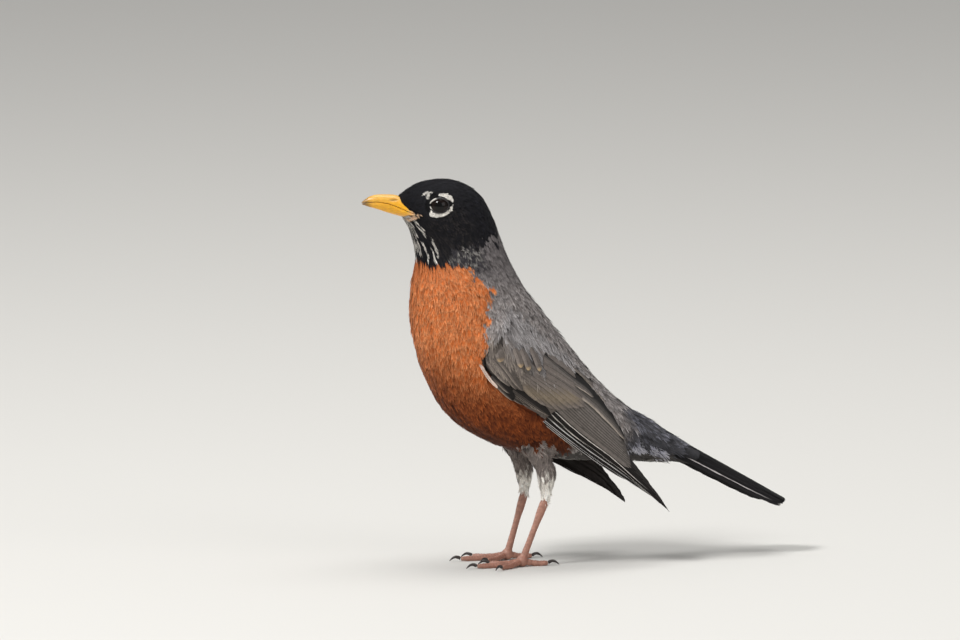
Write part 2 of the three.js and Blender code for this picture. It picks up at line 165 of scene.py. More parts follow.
# %% The hoops
HOOPS = np.array(  # throat or belly x, z, then crown or back x, z, then the half-width
    [
        [-55.2, 161.3, -56.6, 170.6, 4.4],
        [-53.4, 159.0, -52.3, 173.9, 6.8],
        [-51.2, 155.3, -44.5, 177.5, 10.2],
        [-49.8, 150.3, -31.0, 177.9, 13.4],
        [-49.0, 146.5, -18.9, 171.4, 14.6],
        [-48.6, 142.5, -11.6, 158.0, 15.3],
        [-49.2, 137.5, -6.7, 144.5, 16.7],
        [-50.7, 129.5, 0.0, 131.8, 20.5],
        [-51.2, 118.0, 9.5, 119.0, 24.3],
        [-49.0, 103.0, 19.5, 106.3, 26.8],
        [-43.0, 85.2, 28.0, 95.8, 27.6],
        [-32.0, 67.9, 36.0, 86.3, 26.6],
        [-12.6, 55.8, 44.5, 77.9, 24.2],
        [12.0, 48.5, 54.0, 70.3, 20.0],
        [38.0, 46.0, 65.0, 64.0, 15.0],
        [62.0, 44.4, 76.5, 56.6, 11.6],
        [83.0, 41.4, 89.0, 48.9, 10.6],
    ]
)
HOOP_MIDDLE = (HOOPS[:, 0:2] + HOOPS[:, 2:4]) / 2
HOOP_HALF = np.linalg.norm(HOOPS[:, 2:4] - HOOPS[:, 0:2], axis=1) / 2
HOOP_UP = (HOOPS[:, 2:4] - HOOPS[:, 0:2]) / 2 / HOOP_HALF[:, None]
HOOP_BACK = np.stack([HOOP_UP[:, 1], -HOOP_UP[:, 0]], 1)
print("hoops:", len(HOOPS), "and the widest is", 2 * HOOPS[:, 4].max(), "mm across")


# %% Where a point lies
def lie(points):
    """The place, the way round and the lie of the plumage at straight points."""
    flat = points[:, [0, 2]]
    past = np.einsum("nhk,hk->nh", flat[:, None] - HOOP_MIDDLE[None], HOOP_BACK)
    hoop = np.clip((past >= 0).sum(1) - 1, 0, len(HOOPS) - 2)
    row = np.arange(len(points))
    here, there = past[row, hoop], past[row, hoop + 1]
    share = np.clip(here / np.where(abs(here - there) < 1e-6, 1e-6, here - there), 0, 1)
    between = lambda v: v[hoop] * (1 - share)[:, None] + v[hoop + 1] * share[:, None]
    up, back = between(HOOP_UP), between(HOOP_BACK)
    size = between(np.stack([HOOP_HALF, HOOPS[:, 4]], 1))
    high = dot(flat - between(HOOP_MIDDLE), up) / size[:, 0]
    around = np.arctan2(abs(points[:, 1]) / size[:, 1], high) / np.pi
    way = np.stack([back[:, 0], np.zeros(len(points)), back[:, 1]], 1)
    return hoop + share, around, way


# %% [markdown]
# ## The folded wing as a map
# A folded wing is easiest to draw flat. On this map `a` is the distance in millimetres from the wrist
# towards the wing's tip, and `b` the distance across, from the leading edge up to the back. The table
# says where the two edges run, how far each lies from the bird's middle, and how much the wing bulges.

# %% The wing's map
WING_ORIGIN = np.array([-27.0, 100.0])  # the wrist, x and z
WING_WAY = np.array([0.76786, -0.64062])
WING_TABLE = np.array(  # a, then leading b and y, trailing b and y, bulge
    [
        [-2, 2.69, -24.2, 30.1, -16.8, 6.6],
        [5, -4.37, -25.47, 30.7, -14.6, 11.4],
        [15, -7.03, -26.77, 30.2, -12.2, 13.4],
        [25, -6.64, -27.35, 29.3, -11.2, 13.7],
        [35, -5.77, -27.69, 28.1, -10.9, 13.4],
        [45, -4.96, -27.95, 27.3, -10.8, 12.8],
        [55, -4.43, -28.25, 25.7, -11.9, 11.4],
        [65, -4.01, -28.66, 22.7, -14.4, 9.6],
        [75, -3.61, -29.2, 18.1, -17.5, 7.6],
        [85, -3.13, -29.78, 11.3, -22.4, 5.0],
        [95, -2.48, -30.34, 6.2, -27.3, 2.6],
        [105, -1.62, -30.76, 3.6, -29.5, 1.2],
        [113, -0.82, -30.98, 1.9, -30.5, 0.5],
        [120, -0.4, -31.1, 1.4, -30.7, 0.3],
    ]
)
WING_TIP = np.array([59.8, 26.6])
ARM_LENGTH, ARM_HEIGHT = 50, 26.5  # how far along and across the map the wing's small feathers may lie
DROOP, DROP = math.radians(5), 3.0  # the right wing hangs a little
print("folded wing:", WING_TABLE[-1, 0], "mm from the wrist to the tip")


# %% The wing's surface
def leading_edge(a):
    """How far across the map the wing's leading edge lies."""
    return np.interp(a, WING_TABLE[:, 0], WING_TABLE[:, 1])


def wing_shape(a, b):
    """A point of the left wing's outer surface, in straight millimetres."""
    lead, lead_y, trail, trail_y, bulge = (np.interp(a, WING_TABLE[:, 0], c) for c in WING_TABLE.T[1:])
    share = np.clip((b - lead) / (trail - lead), 0.004, 1)
    past = np.maximum(lead - b, 0) + np.maximum(b - trail, 0)  # beyond an edge the surface rolls inwards
    b = b + 0.15 * np.maximum(lead - b, 0) - 0.45 * np.maximum(b - trail, 0)
    y = lead_y + (trail_y - lead_y) * share - bulge * np.sin(np.pi * share**0.85) + 0.8 * past
    x = WING_ORIGIN[0] + WING_WAY[0] * a - WING_WAY[1] * b
    z = WING_ORIGIN[1] + WING_WAY[1] * a + WING_WAY[0] * b
    return np.stack([x, y, z], -1)


# %% From the map to the bird
def on_wing(side):
    """A function from map position and lift to millimetres in the CAD's frame, for one wing."""

    def place_on(a, b, lift):
        step = 1.0
        along = wing_shape(a + step, b) - wing_shape(a - step, b)
        across = wing_shape(a, b + step) - wing_shape(a, b - step)
        out = np.cross(along, across)
        out *= np.sign(-out[..., 1:2]) / np.linalg.norm(out, axis=-1, keepdims=True)
        point = wing_shape(a, b) + out * lift[..., None]
        if side == "right":
            dx, dz = point[..., 0] - WING_TIP[0], point[..., 2] - WING_TIP[1]
            x = WING_TIP[0] + dx * np.cos(DROOP) - dz * np.sin(DROOP)
            z = WING_TIP[1] + dx * np.sin(DROOP) + dz * np.cos(DROOP) - DROP
            point = np.stack([x, -point[..., 1], z], -1)
        return posed(point)

    return place_on


# %% From the bird to the map
def wing_map(points):
    """Where straight points fall on the wing's map, and how far they stand out from its surface."""
    x, y, z = points[:, 0].copy(), -abs(points[:, 1]), points[:, 2].copy()
    right = points[:, 1] > 0
    dx, dz = x - WING_TIP[0], z + DROP - WING_TIP[1]
    x[right] = (WING_TIP[0] + dx * np.cos(DROOP) + dz * np.sin(DROOP))[right]
    z[right] = (WING_TIP[1] - dx * np.sin(DROOP) + dz * np.cos(DROOP))[right]
    dx, dz = x - WING_ORIGIN[0], z - WING_ORIGIN[1]
    a, b = dx * WING_WAY[0] + dz * WING_WAY[1], -dx * WING_WAY[1] + dz * WING_WAY[0]
    return a, b, wing_shape(a, b)[:, 1] - y


# %% [markdown]
# ## Markings
# The markings are rules about where a point lies, so the skin and the feathers share them. The black
# hood ends at a line round the neck. The orange begins below it and stops at a line down each side.
# Round the eye, distances are measured from the middle of its opening.

# %% Markings
EYE_OPENING = np.array([-39.4, 167.3])  # x and z of its middle
EYE_HALF = np.array([4.15, 3.35])
WHITE_SPOT, GAPE = np.array([-45.0, 172.2]), np.array([-50.3, 161.6])  # x and z of their middles
THROAT_HEIGHT, FACE_END = 158, -30  # the face lies above this z and ahead of this x
HOOD_EDGE = np.array(  # how far round, and the place where the black ends
    [[0, 5.2], [0.12, 5.35], [0.3, 5.43], [0.43, 5.36], [0.52, 5.28], [0.58, 5.2], [0.61, 5.45],
     [0.65, 5.84], [0.7, 5.88], [0.75, 5.95], [0.785, 5.84], [0.845, 5.6], [0.9, 5.45], [1, 5.38]]
)  # fmt: skip
ORANGE_EDGE = np.array(  # place, and how far round the orange begins
    [[5.0, 0.66], [5.85, 0.66], [5.96, 0.615], [6.05, 0.58], [6.1, 0.545], [6.17, 0.507], [6.4, 0.5],
     [6.57, 0.5], [6.74, 0.475], [6.97, 0.452], [7.18, 0.44], [7.52, 0.48], [7.87, 0.51], [8.5, 0.557],
     [9, 0.586], [9.4, 0.6], [10, 0.57], [11, 0.52], [12.4, 0.55], [13, 0.7], [13.35, 0.95], [13.5, 1.2]]
)  # fmt: skip
WHITE_RING = np.array(  # degrees round the eye from its back, then how far out the white begins and ends
    [[0, 1.5, 1.5], [16, 1.5, 1.5], [24, 1.34, 1.66], [43, 1.22, 1.78], [60, 1.14, 1.72],
     [79, 1.1, 1.52], [90, 1.08, 1.28], [98, 1.05, 1.05], [216, 1.05, 1.05], [221, 1.12, 1.45],
     [228, 1.14, 1.72], [249, 1.12, 1.66], [281, 1.1, 1.5], [323, 1.12, 1.36], [345, 1.26, 1.48],
     [354, 1.4, 1.5], [358, 1.5, 1.5], [360, 1.5, 1.5]]
)  # fmt: skip


# %% White and bare places on the face
def around_eye(points):
    """How far out from the eye's opening, 1 at its edge, and the angle round it, 0 at its back."""
    away = (points[:, [0, 2]] - EYE_OPENING) / EYE_HALF
    return np.linalg.norm(away, axis=1), np.arctan2(away[:, 1], away[:, 0])


def white_ring(points):
    """Whether straight points lie on one of the two white crescents round the eye."""
    out, angle = around_eye(points)
    turn = np.degrees(angle) % 360
    inner, outer = (np.interp(turn, WHITE_RING[:, 0], c) for c in WHITE_RING.T[1:])
    return (out > inner) & (out < outer) & (points[:, 2] > THROAT_HEIGHT) & (abs(points[:, 1]) > 6)


def white_spot(points):
    """Whether straight points lie on the small white spot above the lore: a bent streak and a lobe."""
    dx, dz = points[:, 0] - WHITE_SPOT[0], points[:, 2] - WHITE_SPOT[1]
    along, over = dx * 0.97 + dz * 0.24, dz * 0.97 - dx * 0.24
    streak = (along / 2.6) ** 2 + ((over + 0.12 * along**2 - 0.3) / 0.42) ** 2 < 1
    lobe = ((points[:, 0] + 44.4) / 0.75) ** 2 + ((points[:, 2] - 171.0) / 1.1) ** 2 < 1
    return (streak | lobe) & (abs(points[:, 1]) > 4.5)


def gape(points):
    """Whether straight points lie on the bare, pinkish skin behind and below the corner of the bill."""
    dx, dz = points[:, 0] - GAPE[0], points[:, 2] - GAPE[1]
    return ((dx * 0.894 + dz * 0.447) / 3.2) ** 2 + ((dz * 0.894 - dx * 0.447) / 0.8) ** 2 < 1


# %% The shoulder, the throat and the shins
def wing_zone(points):
    """Whether straight points lie on the outside of a folded wing's front half."""
    a, b, proud = wing_map(points)
    inside = (a > -1.5) & (a < ARM_LENGTH) & (b > leading_edge(a) + 0.8) & (b < ARM_HEIGHT)
    return inside & (proud > -2.6)


def dice(i, j):
    """A number from 0 to 1 that is always the same for the same two whole numbers."""
    return np.modf(abs(np.sin(i * 12.9898 + j * 78.233) * 43758.5453))[0]


SHIN_TOP, SHIN_END = 56.5, 30  # heights over the floor


def is_shin(points):
    """Whether straight points lie on a feathered shin."""
    axis = np.interp(points[:, 2], [SHIN_END, 44, 57], [9.0, 9.2, 3.5])
    near = (abs(points[:, 0] - axis) < 8) & (abs(points[:, 1]) > 5) & (abs(points[:, 1]) < 22)
    return (points[:, 2] < SHIN_TOP) & near


# %% [markdown]
# ## The colour of the plumage
# The markings could be painted by hand on one texture of the whole skin. Rules are used here, because
# each can be tried and corrected by itself, and because a feather can be given one colour at its root
# and another at its tip. Each function below lays one part's colours over those before it. `grain` is
# a random number for each point and `drift` a slow wander, so that no edge looks ruled.
#
# A robin's back is a brownish grey. The breast is brick orange and deepens towards the belly, partly its
# own colour and partly painted shade, which is strongest on the underside and at the back of the belly.

# %% Back, breast and belly
def body_coat(place, around, grain, drift):
    """Colours of feathers and tips on the body, and whether a point is on the orange."""
    colour = mix(NAPE, MANTLE, smooth(place, 6.0, 8.0))
    tip = mix(NAPE * 1.6, MANTLE_EDGE, smooth(place, 6.0, 8.0))
    collar = (1 - smooth(place, 6.0, 6.8)) * smooth(around, 0.3, 0.42)
    colour = mix(colour, HOOD * 2.2, collar * 0.75)
    # Painted sheen: the collar's darker tips take the hood's sheen colour.
    tip = mix(tip, pick(grain < 0.4, CHALK * 0.6, HOOD_PAINTED_SHEEN), collar)
    orange = around > np.interp(place, *ORANGE_EDGE.T) + drift * 0.008
    # Partly painted shade: the orange deepens down the belly, and sooner on its underside.
    deepening_and_shade = smooth(place + 3 * np.clip(around - 0.6, -0.15, 0.3), 9.0, 11.6)
    colour = pick(orange, mix(BREAST, BELLY_AND_SHADE, deepening_and_shade), colour)
    tip = pick(orange, mix(BREAST_TIP, BREAST * 0.8, deepening_and_shade), tip)
    # Painted shade: the orange of the underside at the back of the belly is darkened further.
    underside_shade = (1 - 0.6 * smooth(place + 1.2 * smooth(around, 0.7, 0.9), 11.2, 12.8) * orange)[:, None]
    return colour * underside_shade, tip * underside_shade, orange


# %% [markdown]
# The shoulder of the folded wing is grey-brown, its feathers rimmed with a paler grey. A few dark
# blotches break it up, where feathers part over darker ones, and the bend of the wing is dark too.

# %% Shoulder
BLOTCHES = [(3.0, 7.8, 2.6, 3.4), (13.2, 11.5, 3.0, 3.6), (19.8, 10.8, 2.2, 2.2)]  # a, b, radius along each


def shoulder_coat(colour, tip, points, wing):
    """The colours so far, with the shoulder of the wing laid over them where wing is true."""
    a, b, _ = wing_map(points)
    wrist = smooth(a, 0.5, 2.5) * (1 - smooth(a, 16, 24)) * (1 - smooth(b - leading_edge(a), 1.6, 2.6))
    high = smooth(b, 7, 14)
    blotch = np.zeros(len(points))
    for blotch_a, blotch_b, along, beyond in BLOTCHES:
        blotch += np.exp(-(((a - blotch_a) / along) ** 2) - ((b - blotch_b) / beyond) ** 2)
    web, rim = mix(COVERT, SCAPULAR, high), mix(COVERT_EDGE, SCAPULAR_EDGE, high)
    web, rim = mix(web, QUILL * 0.35, wrist), mix(rim, QUILL * 0.5, wrist)
    shade = (1 - 0.62 * np.clip(blotch, 0, 1))[:, None]
    return pick(wing, web * shade, colour), pick(wing, rim * shade, tip)


# %% [markdown]
# The rump and the upper tail coverts are dark grey with a violet cast at the edges, and painted shade
# darkens them down the sides. Under the tail the feathers have grey bases, darkened further with painted
# shade, and white tips, fewer of them higher up where shade is painted. A pale patch shows on each flank
# just behind the wing.

# %% Rump, vent and shins
def hind_coat(colour, tip, place, around, grain, elsewhere):
    """The colours so far, with the rump where elsewhere is true, the vent and the pale patches."""
    start = np.interp(around, [0.2, 0.32], [12.5, 13.2])
    rump = smooth(place, start, start + 0.6) * elsewhere
    # Painted shade: the rump's grey darkens down its sides.
    colour = mix(colour, RUMP * (1 - 0.25 * smooth(around, 0.3, 0.42))[:, None], rump)
    violet = np.where(around < 0.28, np.where(grain < 0.6, 1.0, 0.4), np.where(grain < 0.2, 0.5, 0.25))
    tip = mix(tip, RUMP_EDGE * violet[:, None], rump)
    vent = (place > 13.0) & (around > np.interp(place, [13, 13.5, 15, 16], [0.72, 0.62, 0.6, 0.56]))
    # Painted shade: the vent takes the grey of down, darkened far below it.
    colour = pick(vent, DOWN * 0.3, colour)
    # Painted shade: fewer vent feathers get white tips higher up, away from the underside.
    white_tip = grain < np.interp(around, [0.6, 0.8, 0.87, 1], [0.02, 0.06, 0.6, 0.9])
    tip = pick(vent, pick(white_tip, CHALK * 0.85, DOWN * 0.4), tip)
    flag = abs(around - np.interp(place, [13.9, 14.9], [0.52, 0.585])) < 0.042
    flag &= (place > 13.85) & (place < 15.0)
    pale_tip = (RUMP_EDGE * 0.7 + CHALK * 0.3) * (0.9 + 0.35 * grain)[:, None]
    return pick(flag, RUMP_EDGE * 0.95, colour), pick(flag, pale_tip, tip)


def shin_coat(colour, tip, points, grain):
    """The colours so far, with grey shins that turn white just above the bare legs."""
    legs = is_shin(points)
    pale = 1 - smooth(points[:, 2] + 1.6 * chance.standard_normal(len(points)), 37, 43)
    colour = pick(legs, mix(SHIN * 0.7, CHALK * 1.2, pale), colour)
    grey_tip = SHIN * (1.1 + 0.9 * (grain < 0.4))[:, None]
    return colour, pick(legs, mix(grey_tip, CHALK * 1.5, pale), tip)


# %% [markdown]
# The hood is nearly black, with a cool sheen painted on the tips of some feathers, and brown flecks on the
# cheek. Its lower edge is sharp round the throat and ragged on the nape.

# %% Hood
def hood_coat(colour, tip, place, around, grain):
    """The colours so far, with the hood, and whether a point is on it."""
    blur = 0.16 * chance.standard_normal(len(place)) * (1 - smooth(around, 0.4, 0.55))
    hood = place + blur < np.interp(around, *HOOD_EDGE.T)
    cheek = smooth(around, 0.3, 0.42) * (1 - smooth(around, 0.66, 0.76)) * smooth(place, 2.4, 3.2)
    cheek = cheek * (grain > 0.55)
    # Painted sheen: the hood's tips are mixed towards a cooler colour at random.
    sheen = mix(HOOD, HOOD_PAINTED_SHEEN, 0.2 + 0.5 * grain)
    return pick(hood, HOOD, colour), pick(hood, mix(sheen, CHEEK_FLECK, 0.8 * cheek), tip), hood


# %% [markdown]
# The throat is black with fine white streaks, each a few feathers long. Dice thrown for each small
# cell of the throat, and not for each feather, make neighbours along a streak agree.

# %% Throat and face
def throat_coat(colour, tip, place, around, drift, hood):
    """The colours so far, with the white streaks of the throat."""
    column = np.floor(around * 62 + 0.06 * drift)
    throw = dice(column, np.floor(place * 0.7 + 3 * dice(column, 5)))
    share = np.interp(place, [0, 1.2, 2.2, 3.6, 4.6, 5.2, 5.8], [1, 0.95, 0.8, 0.7, 0.55, 0.35, 0.15])
    share = share * np.interp(around, [0.6, 0.66, 0.73, 0.8, 1], [0, 0.3, 0.85, 0.95, 0.8])
    share = share * np.where(column % 2 > 0, 1, np.interp(place, [0.6, 1.6], [0.8, 0.0]))
    share = np.where((place < 3) & (around < 0.65), 0, share)
    pale = hood & (place < 5.9) & (throw < share)
    white = CHALK * np.interp(around, [0.55, 0.75], [0.5, 0.9])[:, None]
    return pick(pale, CHALK * 0.75, colour), pick(pale, white, tip)


def face_coat(colour, tip, points, place, grain):
    """The colours so far, with the bare gape and the white marks round the eye."""
    bare = gape(points) & (grain < 0.8)
    colour, tip = pick(bare, BILL_BASE * 0.9, colour), pick(bare, BILL_BASE * 1.15, tip)
    face = (white_ring(points) | white_spot(points)) & (place < 4.6)
    bright = np.where(white_spot(points), 0.82, 1.05)[:, None]
    return pick(face, CHALK * bright, colour), pick(face, CHALK * bright, tip)


# %% The whole coat
def plumage(points, place, around):
    """The colour of the plumage, and the colour of its feathers' tips, at straight points."""
    grain = chance.random(len(points))
    drift = np.sin(points[:, 0] * 0.9) * np.cos(points[:, 2] * 0.7 + points[:, 1])
    drift = drift + chance.standard_normal(len(points)) * 0.6
    place = place + drift * 0.05
    colour, tip, orange = body_coat(place, around, grain, drift)
    breast_end = np.where(points[:, 1] > 0, 7.5, 9.3)  # the orange laps over the bend of each wing
    wing = wing_zone(points) & ~(orange & (place < breast_end))
    colour, tip = shoulder_coat(colour, tip, points, wing)
    colour, tip = hind_coat(colour, tip, place, around, grain, ~wing & ~orange)
    colour, tip = shin_coat(colour, tip, points, grain)
    colour, tip, hood = hood_coat(colour, tip, place, around, grain)
    colour, tip = throat_coat(colour, tip, place, around, drift, hood)
    return face_coat(colour, tip, points, place, grain)


# %% [markdown]
# ## Meshes from arrays
# Every mesh below is worked out with numpy and handed to Blender in one go. `make_mesh` stores a
# colour on each point, under the name that the materials read, and a UV map where one is given.

# %% A mesh from arrays
MM = 0.001  # metres in a millimetre


def make_mesh(name, points, faces, colours=None, uv=None):
    """An object of triangles or quads from points in millimetres in the CAD's frame."""
    mesh = bpy.data.meshes.new(name)
    sides = faces.shape[1]
    mesh.vertices.add(len(points))
    mesh.vertices.foreach_set("co", (points * MM).astype(np.float32).ravel())
    mesh.loops.add(faces.size)
    mesh.loops.foreach_set("vertex_index", faces.astype(np.int32).ravel())
    mesh.polygons.add(len(faces))
    mesh.polygons.foreach_set("loop_start", np.arange(0, faces.size, sides, dtype=np.int32))
    mesh.update(calc_edges=True)
    mesh.polygons.foreach_set("use_smooth", np.ones(len(faces), bool))
    if colours is not None:
        layer = mesh.color_attributes.new("plumage", "FLOAT_COLOR", "POINT")
        layer.data.foreach_set("color", np.c_[colours, np.ones(len(points))].astype(np.float32).ravel())
    if uv is not None:
        corner_uv = uv if len(uv) == faces.size else uv[faces.ravel()]
        mesh.uv_layers.new(name="OFBake").data.foreach_set("uv", corner_uv.astype(np.float32).ravel())
    thing = bpy.data.objects.new(name, mesh)
    bpy.context.scene.collection.objects.link(thing)
    return thing


# %% From a CAD node to arrays
def node_mesh(name):
    """The points, in millimetres, and the triangles of a CAD node."""
    thing = nodes[name]
    mesh = thing.data
    mesh.calc_loop_triangles()
    points = np.empty(len(mesh.vertices) * 3, np.float32)
    mesh.vertices.foreach_get("co", points)
    matrix = np.array(thing.matrix_world)
    points = points.reshape(-1, 3).astype(float) @ matrix[:3, :3].T + matrix[:3, 3]
    faces = np.empty(len(mesh.loop_triangles) * 3, np.int32)
    mesh.loop_triangles.foreach_get("vertices", faces)
    return points / MM, faces.reshape(-1, 3)


def welded(points, faces, near=0.001):
    """The same surface with the points that lie together made one."""
    cells = np.round(points / near).astype(np.int64)
    _, first, index = np.unique(cells, axis=0, return_index=True, return_inverse=True)
    faces = index.reshape(-1)[faces]
    keep = (faces[:, 0] != faces[:, 1]) & (faces[:, 1] != faces[:, 2]) & (faces[:, 0] != faces[:, 2])
    return points[first], faces[keep]


def point_normals(points, faces):
    """The normal at each point, from the faces round it."""
    corner = points[faces]
    face = np.cross(corner[:, 1] - corner[:, 0], corner[:, 2] - corner[:, 0])
    normal = np.zeros_like(points)
    for i in range(faces.shape[1]):
        np.add.at(normal, faces[:, i], face)
    return normal / (np.linalg.norm(normal, axis=1)[:, None] + 1e-12)


def joined(parts):
    """Several point and face arrays as one."""
    starts = np.cumsum([0] + [len(p) for p, _ in parts[:-1]])
    faces = [f + start for (_, f), start in zip(parts, starts)]
    return np.concatenate([p for p, _ in parts]), np.concatenate(faces)


# %% [markdown]
# ## The skin
# Under its feathers a bird is one continuous skin. It could be sculpted by hand, but made from the
# solids of flesh it keeps their proportions. They are swelled a little, so that the thin cuts between
# them close, joined, and remeshed into one even surface, and smoothing takes off the facets. Then
# every point moves in by the depth of the coat, so that the feathers end at the CAD's outline.

# %% One skin from many solids
SWELL = 0.35
FLESH = ["head", "neck", "trunk", "tail_coverts", "shin_left", "shin_right"]
ARMS = ["wing_left_coverts", "wing_right_coverts"]
FACE = ["eye_left", "eye_right", "bill_upper", "bill_lower"]


def remeshed(names, voxel, smoothing, swell=SWELL):
    """One closed, even surface over the named CAD nodes, as points and quads in millimetres."""
    parts = []
    for name in names:
        points, faces = welded(*node_mesh(name))
        parts.append((points + point_normals(points, faces) * swell, faces))
    rough = make_mesh("rough", *joined(parts))
    rough.modifiers.new("even", "REMESH").mode = "VOXEL"
    rough.modifiers["even"].voxel_size = voxel * MM
    calm = rough.modifiers.new("calm", "SMOOTH")
    calm.factor, calm.iterations = 0.6, smoothing
    done = rough.evaluated_get(bpy.context.evaluated_depsgraph_get()).to_mesh()
    points = np.empty(len(done.vertices) * 3, np.float32)
    done.vertices.foreach_get("co", points)
    faces = np.array([p.vertices for p in done.polygons if len(p.vertices) == 4])
    bpy.data.objects.remove(rough)
    return points.reshape(-1, 3).astype(float) / MM, faces


# %% How deep the coat is
def tucked(points):
    """1 on the flank just under a folded wing's leading edge, falling to 0 a little lower down."""
    a, b, proud = wing_map(points)
    under = leading_edge(a) - b
    along = smooth(a, 8, 14) * (1 - smooth(a, ARM_LENGTH, 62))
    return along * (1 - smooth(under, 2.5, 8)) * (under > -1.5) * (proud > -8)


COAT_DEPTH = [  # place, then the depth in millimetres
    [0, 1.5, 3, 5, 7, 10, 14.2, 15, 16],
    [0.3, 0.4, 0.5, 0.7, 0.95, 1.1, 1.0, 2.6, 3.5],
]


def coat_depth(points):
    """How deep the plumage is at straight points: thin on the face, the shins and the wings' bases."""
    place, _, _ = lie(points)
    depth = np.interp(place, *COAT_DEPTH)
    eye, _ = around_eye(points)
    a, b, _ = wing_map(points)
    depth = np.where(wing_zone(points) & (a > 12) & (b < 6), 1.6, depth) + 1.1 * tucked(points)
    near_eye = np.interp(eye, [0, 1.2, 2.2], [0.5, 0.3, 0.9]) + (abs(points[:, 1]) < 5)
    return np.where(is_shin(points), 0.8, np.minimum(depth, near_eye))


# %% Fit the skin under the coat
skin_points, skin_faces = remeshed(FLESH + ARMS + FACE, 0.8, 6)
skin_normals = point_normals(skin_points, skin_faces)
skin_points = skin_points - skin_normals * (coat_depth(straight(skin_points)) + SWELL)[:, None]
for sign in SIGN.values():  # the feathered shins narrow to the bare legs
    here = (skin_points[:, 2] < 42) & (skin_points[:, 1] * sign > 0)
    centre = skin_points[here & (skin_points[:, 2] < 34), :2].mean(0)
    squeeze = 1 - 0.4 * (1 - smooth(skin_points[here, 2], 31, 42))
    skin_points[here, :2] = centre + (skin_points[here, :2] - centre) * squeeze[:, None]
skin_triangles = np.concatenate([skin_faces[:, [0, 1, 2]], skin_faces[:, [0, 2, 3]]])
skin_normals = point_normals(skin_points, skin_triangles)
skin_tree = BVHTree.FromPolygons(skin_points.tolist(), skin_faces.tolist())
print("skin:", len(skin_points), "points")

# %% [markdown]
# ## Unwrapping the skin
# An automatic unwrap would cut the skin into many islands. Cut along the belly instead and rolled out
# flat, the body is a single sheet: across it runs the way round, and up it runs the place from bill to
# tail. Each feather's own patch sits where its root lies on it. The shins get a strip of their own.

# %% The unwrap
def unwrap(points, place, around):
    """Where straight points lie on the rolled-out skin, both from 0 to 1."""
    side = np.where(points[:, 1] > 0, 1, -1)
    u, v = 0.5 + side * around * 0.49, 0.12 + place / 16 * 0.86
    shin = is_shin(points)
    axis = np.arctan2(points[:, 0] - 6, abs(points[:, 1]) - 13) / (2 * np.pi) * 0.4
    shin_u, shin_v = 0.5 + side * (0.25 + axis), (points[:, 2] - SHIN_END) / 30 * 0.1
    return np.stack([np.where(shin, shin_u, u), np.where(shin, shin_v, v)], 1)


# %% [markdown]
# ## The skin as a piece
# The skin carries the same markings as its feathers, a little darker, because down lies between them.
# Where the bill covers it, it is cut away. On each face the unwrap is worked out on one side of the
# belly line, so that no face runs right across the sheet.

# %% Make the skin
BILL_EDGE = np.array(  # z, and the x that the feathers reach at the bill's base
    [[160.6, -70], [161.2, -54.4], [161.6, -50], [162.3, -47.9], [162.8, -47.8], [164.4, -49.4],
     [165.8, -52.3], [166.8, -55.2], [168.9, -56.4], [171.0, -56.3], [171.7, -57.0], [172.3, -70]]
)  # fmt: skip
skin_straight = straight(skin_points)
skin_place, skin_around, _ = lie(skin_straight)
skin_colour, _ = plumage(skin_straight, skin_place, skin_around)
covered = skin_straight[:, 0] < np.interp(skin_straight[:, 2], *BILL_EDGE.T) - 1.3
covered |= skin_straight[:, 0] < -59
shown = skin_faces[~covered[skin_faces].all(1)]
corners = skin_straight[shown.ravel()]
corners[:, 1] = np.repeat(np.where(skin_straight[shown].mean(1)[:, 1] > 0, 1, -1), 4) * abs(corners[:, 1])
skin = make_mesh("skin", skin_points, shown, skin_colour * 0.65, unwrap(corners, *lie(corners)[:2]))
print("skin faces:", len(shown))

# %% [markdown]
# ## Where the body feathers grow
# Small feathers are close together on the face and larger, wider apart, down the body. Points are
# scattered over the skin, and each one that is kept clears a circle round itself, so that the spacing
# is even without being regular. None grow under the folded wing or where the long feathers cover.

# %% Feather sizes
SIZES = np.array(  # place, length, width, spacing, all in millimetres after the first
    [
        [0.0, 1.5, 0.7, 0.4],
        [1.2, 2.1, 0.9, 0.46],
        [2.6, 3.2, 1.3, 0.62],
        [4.2, 4.4, 1.7, 0.85],
        [5.4, 5.6, 2.2, 0.95],
        [7.0, 7.0, 3.0, 1.2],
        [9.5, 8.2, 3.6, 1.4],
        [12.0, 9.2, 4.0, 1.5],
        [13.5, 10.5, 4.2, 1.6],
        [16.0, 12.5, 4.6, 1.7],
    ]
)


def feather_size(points, place, around):
    """Length, width and spacing of the feathers at straight points."""
    size = np.stack([np.interp(place, SIZES[:, 0], c) for c in SIZES.T[1:]], 1)
    eye, _ = around_eye(points)
    near = (1 - smooth(eye, 1.4, 2.6)) * (points[:, 2] > THROAT_HEIGHT) * (points[:, 0] < FACE_END)
    size = size * (1 - near[:, None] * np.array([0.55, 0.5, 0.35]))
    throat = smooth(around, 0.5, 0.66) * (1 - smooth(place, 5.8, 6.4))
    size = size * (1 + throat[:, None] * np.array([0.25, -0.64, -0.32]))
    _, b, _ = wing_map(points)
    scapular = (wing_zone(points) * smooth(b, 3, 6))[:, None]
    size = size * (1 + scapular * np.array([0.5, -0.15, 0.12]))
    size = size * (1 + tucked(points)[:, None] * np.array([-0.25, -0.25, -0.2]))
    size = pick(is_shin(points), np.array([5.2, 1.4, 0.85]), size)
    fine = (white_spot(points) | gape(points)) & (place < 4.6)
    size = pick(fine, np.array([1.2, 0.4, 0.3]), size)
    return pick(white_ring(points), np.array([0.85, 0.42, 0.24]), size)


